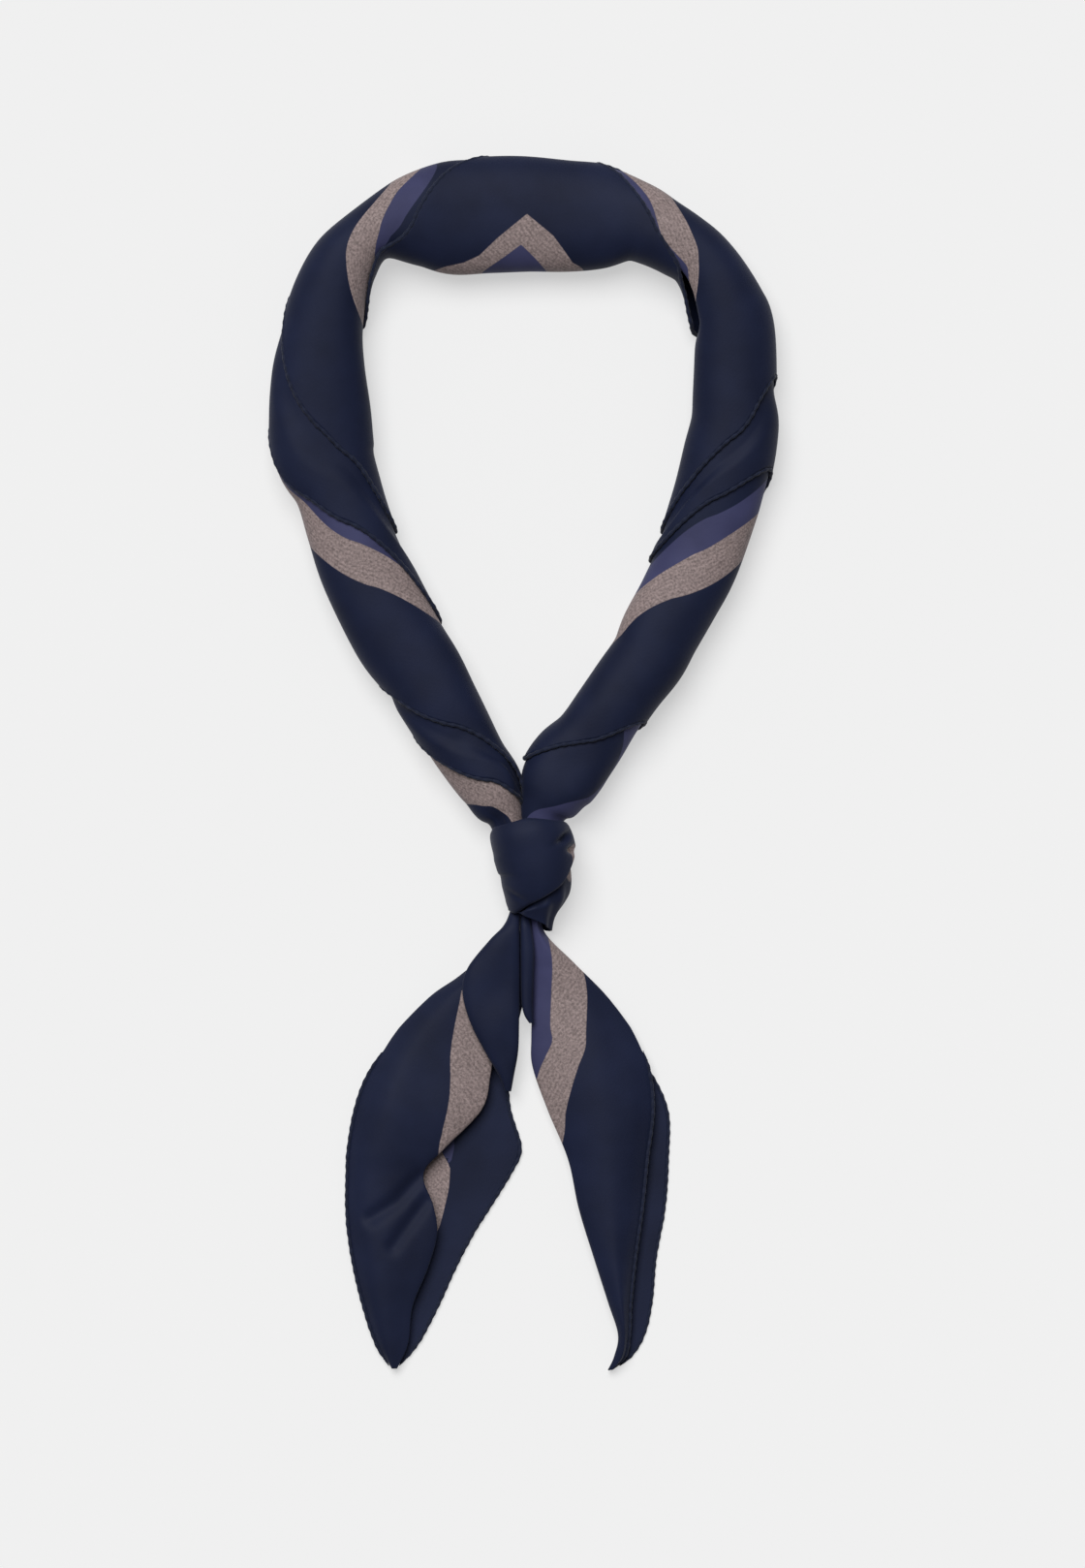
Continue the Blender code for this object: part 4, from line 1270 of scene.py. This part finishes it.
@dataclass
class Tail:
    """A tail: a folded sheet with a rolled hem along each of its two free edges."""

    draper: Draper
    name: str
    rows: tuple[LeafRow, ...]
    rise: float
    near_rise: float
    pleated: bool
    seed: int
    creases: tuple[Crease, ...] = ()
    ripple: float = 0.00035
    ripple_across: float = 0.35
    ripple_along: float = 0.45
    risen_to: float = 0.03
    risen_over: float = 0.09
    edge_least: float = 0.30
    edge_over_hem: float = 0.12
    front_across: float = 0.45
    front_rise: float = 0.82
    beyond_across: float = 0.62
    beyond_rise: float = 0.35
    under_across: float = 0.30
    under_rise: float = 0.40
    inner_across: float = 0.55
    hide: float = 0.08
    front_shown: float = 5.6
    front_ends: float = 6.2
    far_starts: float = 7.0
    hem_start: float = 0.3
    hem_onset: float = 0.05
    hem_end: float = 0.990
    hem_reach: float = 1.5
    hem_overlap: float = 0.5
    table_gap: float = 0.0002
    wall: float = 0.001
    count: int = 170
    across: int = 14

    def finer(self) -> dict[str, Array]:
        """The tail's sections at a fine pitch, with the free edges drawn in to leave room for the hems."""
        places = np.linspace(0.0, len(self.rows) - 1.0, self.count)
        row = dict(zip(LeafRow._fields, spline(np.array(self.rows), places).T))
        share = np.clip((row["along"] - self.hem_start) / self.hem_onset + 1.0, 0.0, 1.0)
        room = self.hem_reach * SIZES.hem_radius / SIZES.tail_span * share
        near, far = np.copysign(room, row["crest"] - row["edge"]), np.copysign(room, row["tuck"] - row["far"])
        for name, shift in (("hem", near), ("edge", near), ("far", far)):
            row[name] = row[name] + shift
        return row

    def section(self, row: dict[str, Array]) -> tuple[Array, Array]:
        """The cloth's line across the tail, from its near hem over the front leaf and back under it.

        Args:
            row: The tail's sections.

        Returns:
            Places across and heights, ten for each section.
        """
        risen = np.clip(1.0 - (row["along"] - self.risen_to) / self.risen_over, 0.0, 1.0)
        floor = self.table_gap + self.rise * risen
        near = floor + self.wall
        crest = near + row["crest_height"] * SIZES.tail_height
        fold = near + row["fold_height"] * SIZES.tail_height
        under = (fold - near) * self.under_rise
        rest = near if self.pleated else floor
        across = [
            row["hem"],
            row["edge"],
            between(row["edge"], row["crest"], self.front_across),
            row["crest"],
            between(row["crest"], row["fold"], self.beyond_across),
            row["fold"],
            between(row["fold"], row["tuck"], self.under_across),
            row["tuck"],
            between(row["tuck"], row["far"], self.inner_across),
            row["far"],
        ]
        heights = [
            between(near, crest, self.near_rise),
            between(near, crest, max(self.edge_least, self.near_rise + self.edge_over_hem)),
            between(near, crest, self.front_rise),
            crest,
            between(crest, fold, self.beyond_rise),
            fold,
            rest + under,
            rest + under * self.beyond_rise,
            rest,
            rest,
        ]
        return np.stack(across, -1), np.stack(heights, -1)

    def relief(self, across: Array, along: Array) -> Array:
        """Soft ripples of the front leaf, which run down the tail."""
        height = self.ripple * waves([across / self.ripple_across, along / self.ripple_along], self.seed)
        metres = (SIZES.tail_length, SIZES.tail_span)
        spots = np.stack([along, across], -1) * metres
        for crease in self.creases:
            start, middle, end = np.array(crease[:3]) * metres
            away = np.minimum(distance(spots, start, middle), distance(spots, middle, end))
            height = height - crease.depth * np.exp(-((away / crease.width) ** 2))
        return height

    def sheet(self) -> Object:
        """Makes the folded sheet."""
        row = self.finer()
        across, heights = self.section(row)
        fine = np.linspace(0.0, FAR, FAR * self.across + 1)
        across, heights = (spline(part.T, fine).T for part in (across, heights))
        along = np.broadcast_to(row["along"][:, None], across.shape)
        on_front = smooth(fine - EDGE) * smooth(self.front_shown - fine)
        heights = heights + self.relief(across, along) * on_front[None, :]
        heights = np.maximum(heights, self.table_gap + 1.1 * SIZES.cloth)
        points = tail_point(across, along, heights)
        steps = np.linalg.norm(np.diff(points, axis=1), axis=2)
        run = np.concatenate([np.zeros((len(points), 1)), np.cumsum(steps, axis=1)], axis=1)
        stripes = self.colours(across, along, np.broadcast_to(fine[None, :], across.shape))
        flat = (run - run[:, FOLD * self.across][:, None], along * SIZES.tail_length)
        return self.draper.cloth(self.name, points, flat, stripes, False, self.pleated)

    def colours(self, across: Array, along: Array, place: Array) -> dict[str, Array]:
        """How far each point of the tail is inside the stripes.

        Args:
            across: Its place across the tail.
            along: Its place down the tail.
            place: Which of the section's ten places it is at.

        Returns:
            The distances in metres, by stripe.
        """
        hidden = self.hide * np.clip(place - self.front_ends, 0.0, 1.0)
        if self.pleated:
            front = (across - through(LEFT_TAUPE_EDGE, along)) * SIZES.tail_span - hidden
            front = np.minimum(front, (along - LEFT_TAUPE_START) * SIZES.tail_length)
            shown = (through(LEFT_FAR_NAVY, along) - across) * SIZES.tail_span
            shown = shown - self.hide * np.clip(self.far_starts - place, 0.0, 1.0)
            lean = (LEFT_FAR_BLUE_ACROSS - across) * SIZES.tail_span * LEFT_FAR_BLUE_LEAN
            below = (along - LEFT_FAR_BLUE_END) * SIZES.tail_length + lean
            taupe = np.maximum(front, np.minimum(shown, below))
            return {"taupe_in": taupe, "blue_in": np.minimum(shown, -below)}
        blue = (through(RIGHT_TAUPE_START, along) - across) * SIZES.tail_span
        taupe = np.minimum(-blue, (through(RIGHT_TAUPE_END, along) - across) * SIZES.tail_span)
        return {"taupe_in": taupe - hidden, "blue_in": blue - hidden}

    def hem(self, far: bool) -> Object:
        """Makes the rolled hem beside the far edge, on the table, or beside the near one."""
        row = self.finer()
        across, heights = self.section(row)
        column, inner = (FAR, FAR - 1) if far else (EDGE, CREST)
        shown = (row["along"] > self.hem_start) & (row["along"] < self.hem_end)
        path = tail_point(across[:, column], row["along"], heights[:, column] - SIZES.cloth / 2)[shown]
        towards = tail_point(across[:, inner], row["along"], 0.0)[shown]
        away = path - towards
        away[:, 2] = 0.0
        away /= np.linalg.norm(away, axis=1)[:, None]
        path = path + away * SIZES.hem_radius * self.hem_overlap
        path[:, 2] = np.maximum(path[:, 2], SIZES.hem_radius)
        up = np.zeros(path.shape)
        up[:, 2] = 1.0
        return self.draper.hem_roll(self.name + ("_far_hem" if far else "_near_hem"), path, up, False)

    def build(self) -> None:
        """Makes the sheet and its hems."""
        silk = self.sheet()
        self.draper.sheet(silk, "folded", [self.hem(False), self.hem(True)])


@dataclass
class Pleat:
    """A narrow pleat on a tail: a sheet turned under at both of its sides."""

    draper: Draper
    name: str
    rows: tuple[PleatRow, ...]
    height: float = 0.0125
    depth: float = 0.003
    ripple: float = 0.0002
    ripple_across: float = 0.2
    ripple_along: float = 0.15
    seed: int = 41
    count: int = 90
    across: int = 57

    def build(self) -> None:
        """Makes the pleat."""
        places = np.linspace(0.0, len(self.rows) - 1.0, self.count)
        along, left, right, rise = spline(np.array(self.rows), places).T
        fine = spline(PLEAT_SHAPE, np.linspace(0.0, len(PLEAT_SHAPE) - 1.0, self.across))
        half = (right - left) / 2
        depth = np.minimum(self.depth, 1.5 * half * SIZES.tail_span)
        across = (left + half)[:, None] + half[:, None] * fine[None, :, 0]
        heights = (rise * self.height)[:, None] + depth[:, None] * fine[None, :, 1]
        spot = np.broadcast_to(along[:, None], across.shape)
        measures = [across / self.ripple_across, spot / self.ripple_along]
        heights = heights + self.ripple * waves(measures, self.seed)
        points = tail_point(across, spot, heights)
        flat = (across * SIZES.tail_span, spot * SIZES.tail_length)
        silk = self.draper.cloth(self.name, points, flat, {}, False, True)
        self.draper.sheet(silk, "folded", [])


@dataclass
class NeckLoop:
    """The roll round the neck: the back turn and the two arms."""

    draper: Draper
    outline_steps: int = 400
    roll: Roll = field(init=False)
    left: Arm = field(init=False)
    right: Arm = field(init=False)
    back: BackTurn = field(init=False)

    def __post_init__(self) -> None:
        """Follows the loop from the knot up the left side, round the back and down the right side."""
        stations = LEFT_ARM[::-1] + (BACK,) + RIGHT_ARM
        scale = (SIZES.loop_width / 2, -SIZES.loop_length, SIZES.roll_width, SIZES.roll_height)
        self.roll = Roll(np.array(stations) * scale, len(LEFT_ARM))
        self.left = Arm(self.draper, self.roll, Side.LEFT, LEFT_MOUTHS)
        self.right = Arm(self.draper, self.roll, Side.RIGHT, RIGHT_MOUTHS)
        self.back = BackTurn(self.draper, self.left, self.right)

    def settle(self) -> None:
        """Finds how far the part's lines are from the frame's origin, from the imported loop's box."""
        turns = ("back_turn", *list(LEFT_MOUTHS)[1:], *list(RIGHT_MOUTHS)[1:])
        boxes = np.array([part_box(name) for name in turns])
        low, high = boxes[:, 0].min(axis=0), boxes[:, 1].max(axis=0)
        length = np.linspace(-self.left.length, self.right.length, self.outline_steps)[:, None]
        around = np.array([[0.0, 0.5]])
        none = np.zeros((self.outline_steps, 2))
        points = self.roll.point(length + none, around + none, none, none).reshape(-1, 3)
        middle = (points.min(axis=0) + points.max(axis=0)) / 2
        self.draper.lay(Vector(((low[0] + high[0]) / 2 - middle[0], high[1] - points[:, 1].max(), 0.0)))

    def build(self) -> None:
        """Makes the back turn and both arms."""
        self.back.build()
        self.left.build()
        self.right.build()


@dataclass
class Studio:
    """A pale light table, one large soft lamp above it, and the camera straight above the view's middle."""

    offset: Vector
    view_across: float = 0.006
    view_along: float = -0.1941
    view_height: float = 0.4862
    lens: float = 240.0
    sensor: float = 36.0
    table_size: float = 40.0
    table_grey: float = 0.345
    table_glow: float = 0.526
    table_roughness: float = 0.9
    table_specular: float = 0.1
    patch_scale: float = 6.0
    patch_range: tuple[float, float] = (0.995, 1.005)
    sky: float = 0.14
    key: float = 3.05
    key_spread: float = 0.72
    key_from: tuple[float, float, float] = (-0.30, 0.74, 1.50)

    def table(self) -> None:
        """Makes the faintly lit table that the neckerchief lies on."""
        half = self.table_size / 2
        corners = [(-half, -half, 0.0), (half, -half, 0.0), (half, half, 0.0), (-half, half, 0.0)]
        made = bpy.data.meshes.new("table")
        made.from_pydata(corners, [], [(0, 1, 2, 3)])
        obj = new_object("table", made)
        nodes = Nodes("pale_table")
        base = nodes.add("ShaderNodeRGB", outputs={0: (*[self.table_grey] * 3, 1.0)})
        finish = {
            "Base Color": nodes.tint(base, nodes.cloud(self.patch_scale, *self.patch_range)),
            "Emission Color": (1.0, 1.0, 1.0, 1.0),
            "Emission Strength": self.table_glow,
            "Roughness": self.table_roughness,
            "Specular IOR Level": self.table_specular,
        }
        nodes.fill(nodes.shader, finish)
        obj.data.materials.append(nodes.made)

    def light(self) -> None:
        """Makes an even sky and one soft distant lamp, up and a little to the left."""
        world = bpy.data.worlds.new("even_sky")
        world.use_nodes = True
        background = world.node_tree.nodes["Background"]
        background.inputs["Color"].default_value = (1.0, 1.0, 1.0, 1.0)
        background.inputs["Strength"].default_value = self.sky
        bpy.context.scene.world = world
        lamp = bpy.data.lights.new("key", "SUN")
        lamp.angle = self.key_spread
        lamp.energy = self.key
        obj = new_object("key", lamp)
        obj.location = self.key_from
        obj.rotation_euler = (-obj.location).to_track_quat("-Z", "Y").to_euler()

    def camera(self) -> None:
        """Makes the camera, which frames the neckerchief as the photo does."""
        data = bpy.data.cameras.new("camera")
        data.lens = self.lens
        data.sensor_width = self.sensor
        obj = new_object("camera", data)
        height = self.view_height * self.lens / data.sensor_width
        obj.location = (self.view_across + self.offset.x, self.view_along + self.offset.y, height)
        bpy.context.scene.camera = obj

    def build(self) -> None:
        """Sets up the scene round the neckerchief."""
        self.table()
        self.light()
        self.camera()
        bpy.context.scene.view_settings.view_transform = "Standard"


def write_sizes() -> None:
    """Updates the view layer."""
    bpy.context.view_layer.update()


def main() -> None:
    """Builds and dresses the neckerchief, piece by piece, and then the studio."""
    logging.basicConfig(level=logging.INFO, format="%(message)s")
    draper = Draper()
    loop = NeckLoop(draper)
    loop.settle()
    Studio(draper.offset).build()
    loop.build()
    Knot(draper).build()
    left = {"rise": 0.0028, "near_rise": 0.0, "pleated": True, "seed": 5, "creases": LEFT_CREASES}
    Tail(draper, "left_tail", LEFT_LEAF, **left).build()
    Tail(draper, "right_tail", RIGHT_LEAF, rise=0.0014, near_rise=0.3, pleated=False, seed=6).build()
    for name, rows in (("left_tail_pleat", LEFT_PLEAT), ("right_tail_pleat", RIGHT_PLEAT)):
        Pleat(draper, name, rows).build()
    write_sizes()
    LOG.info("offset %s", tuple(round(part, 5) for part in draper.offset))


if __name__ == "__main__":
    main()
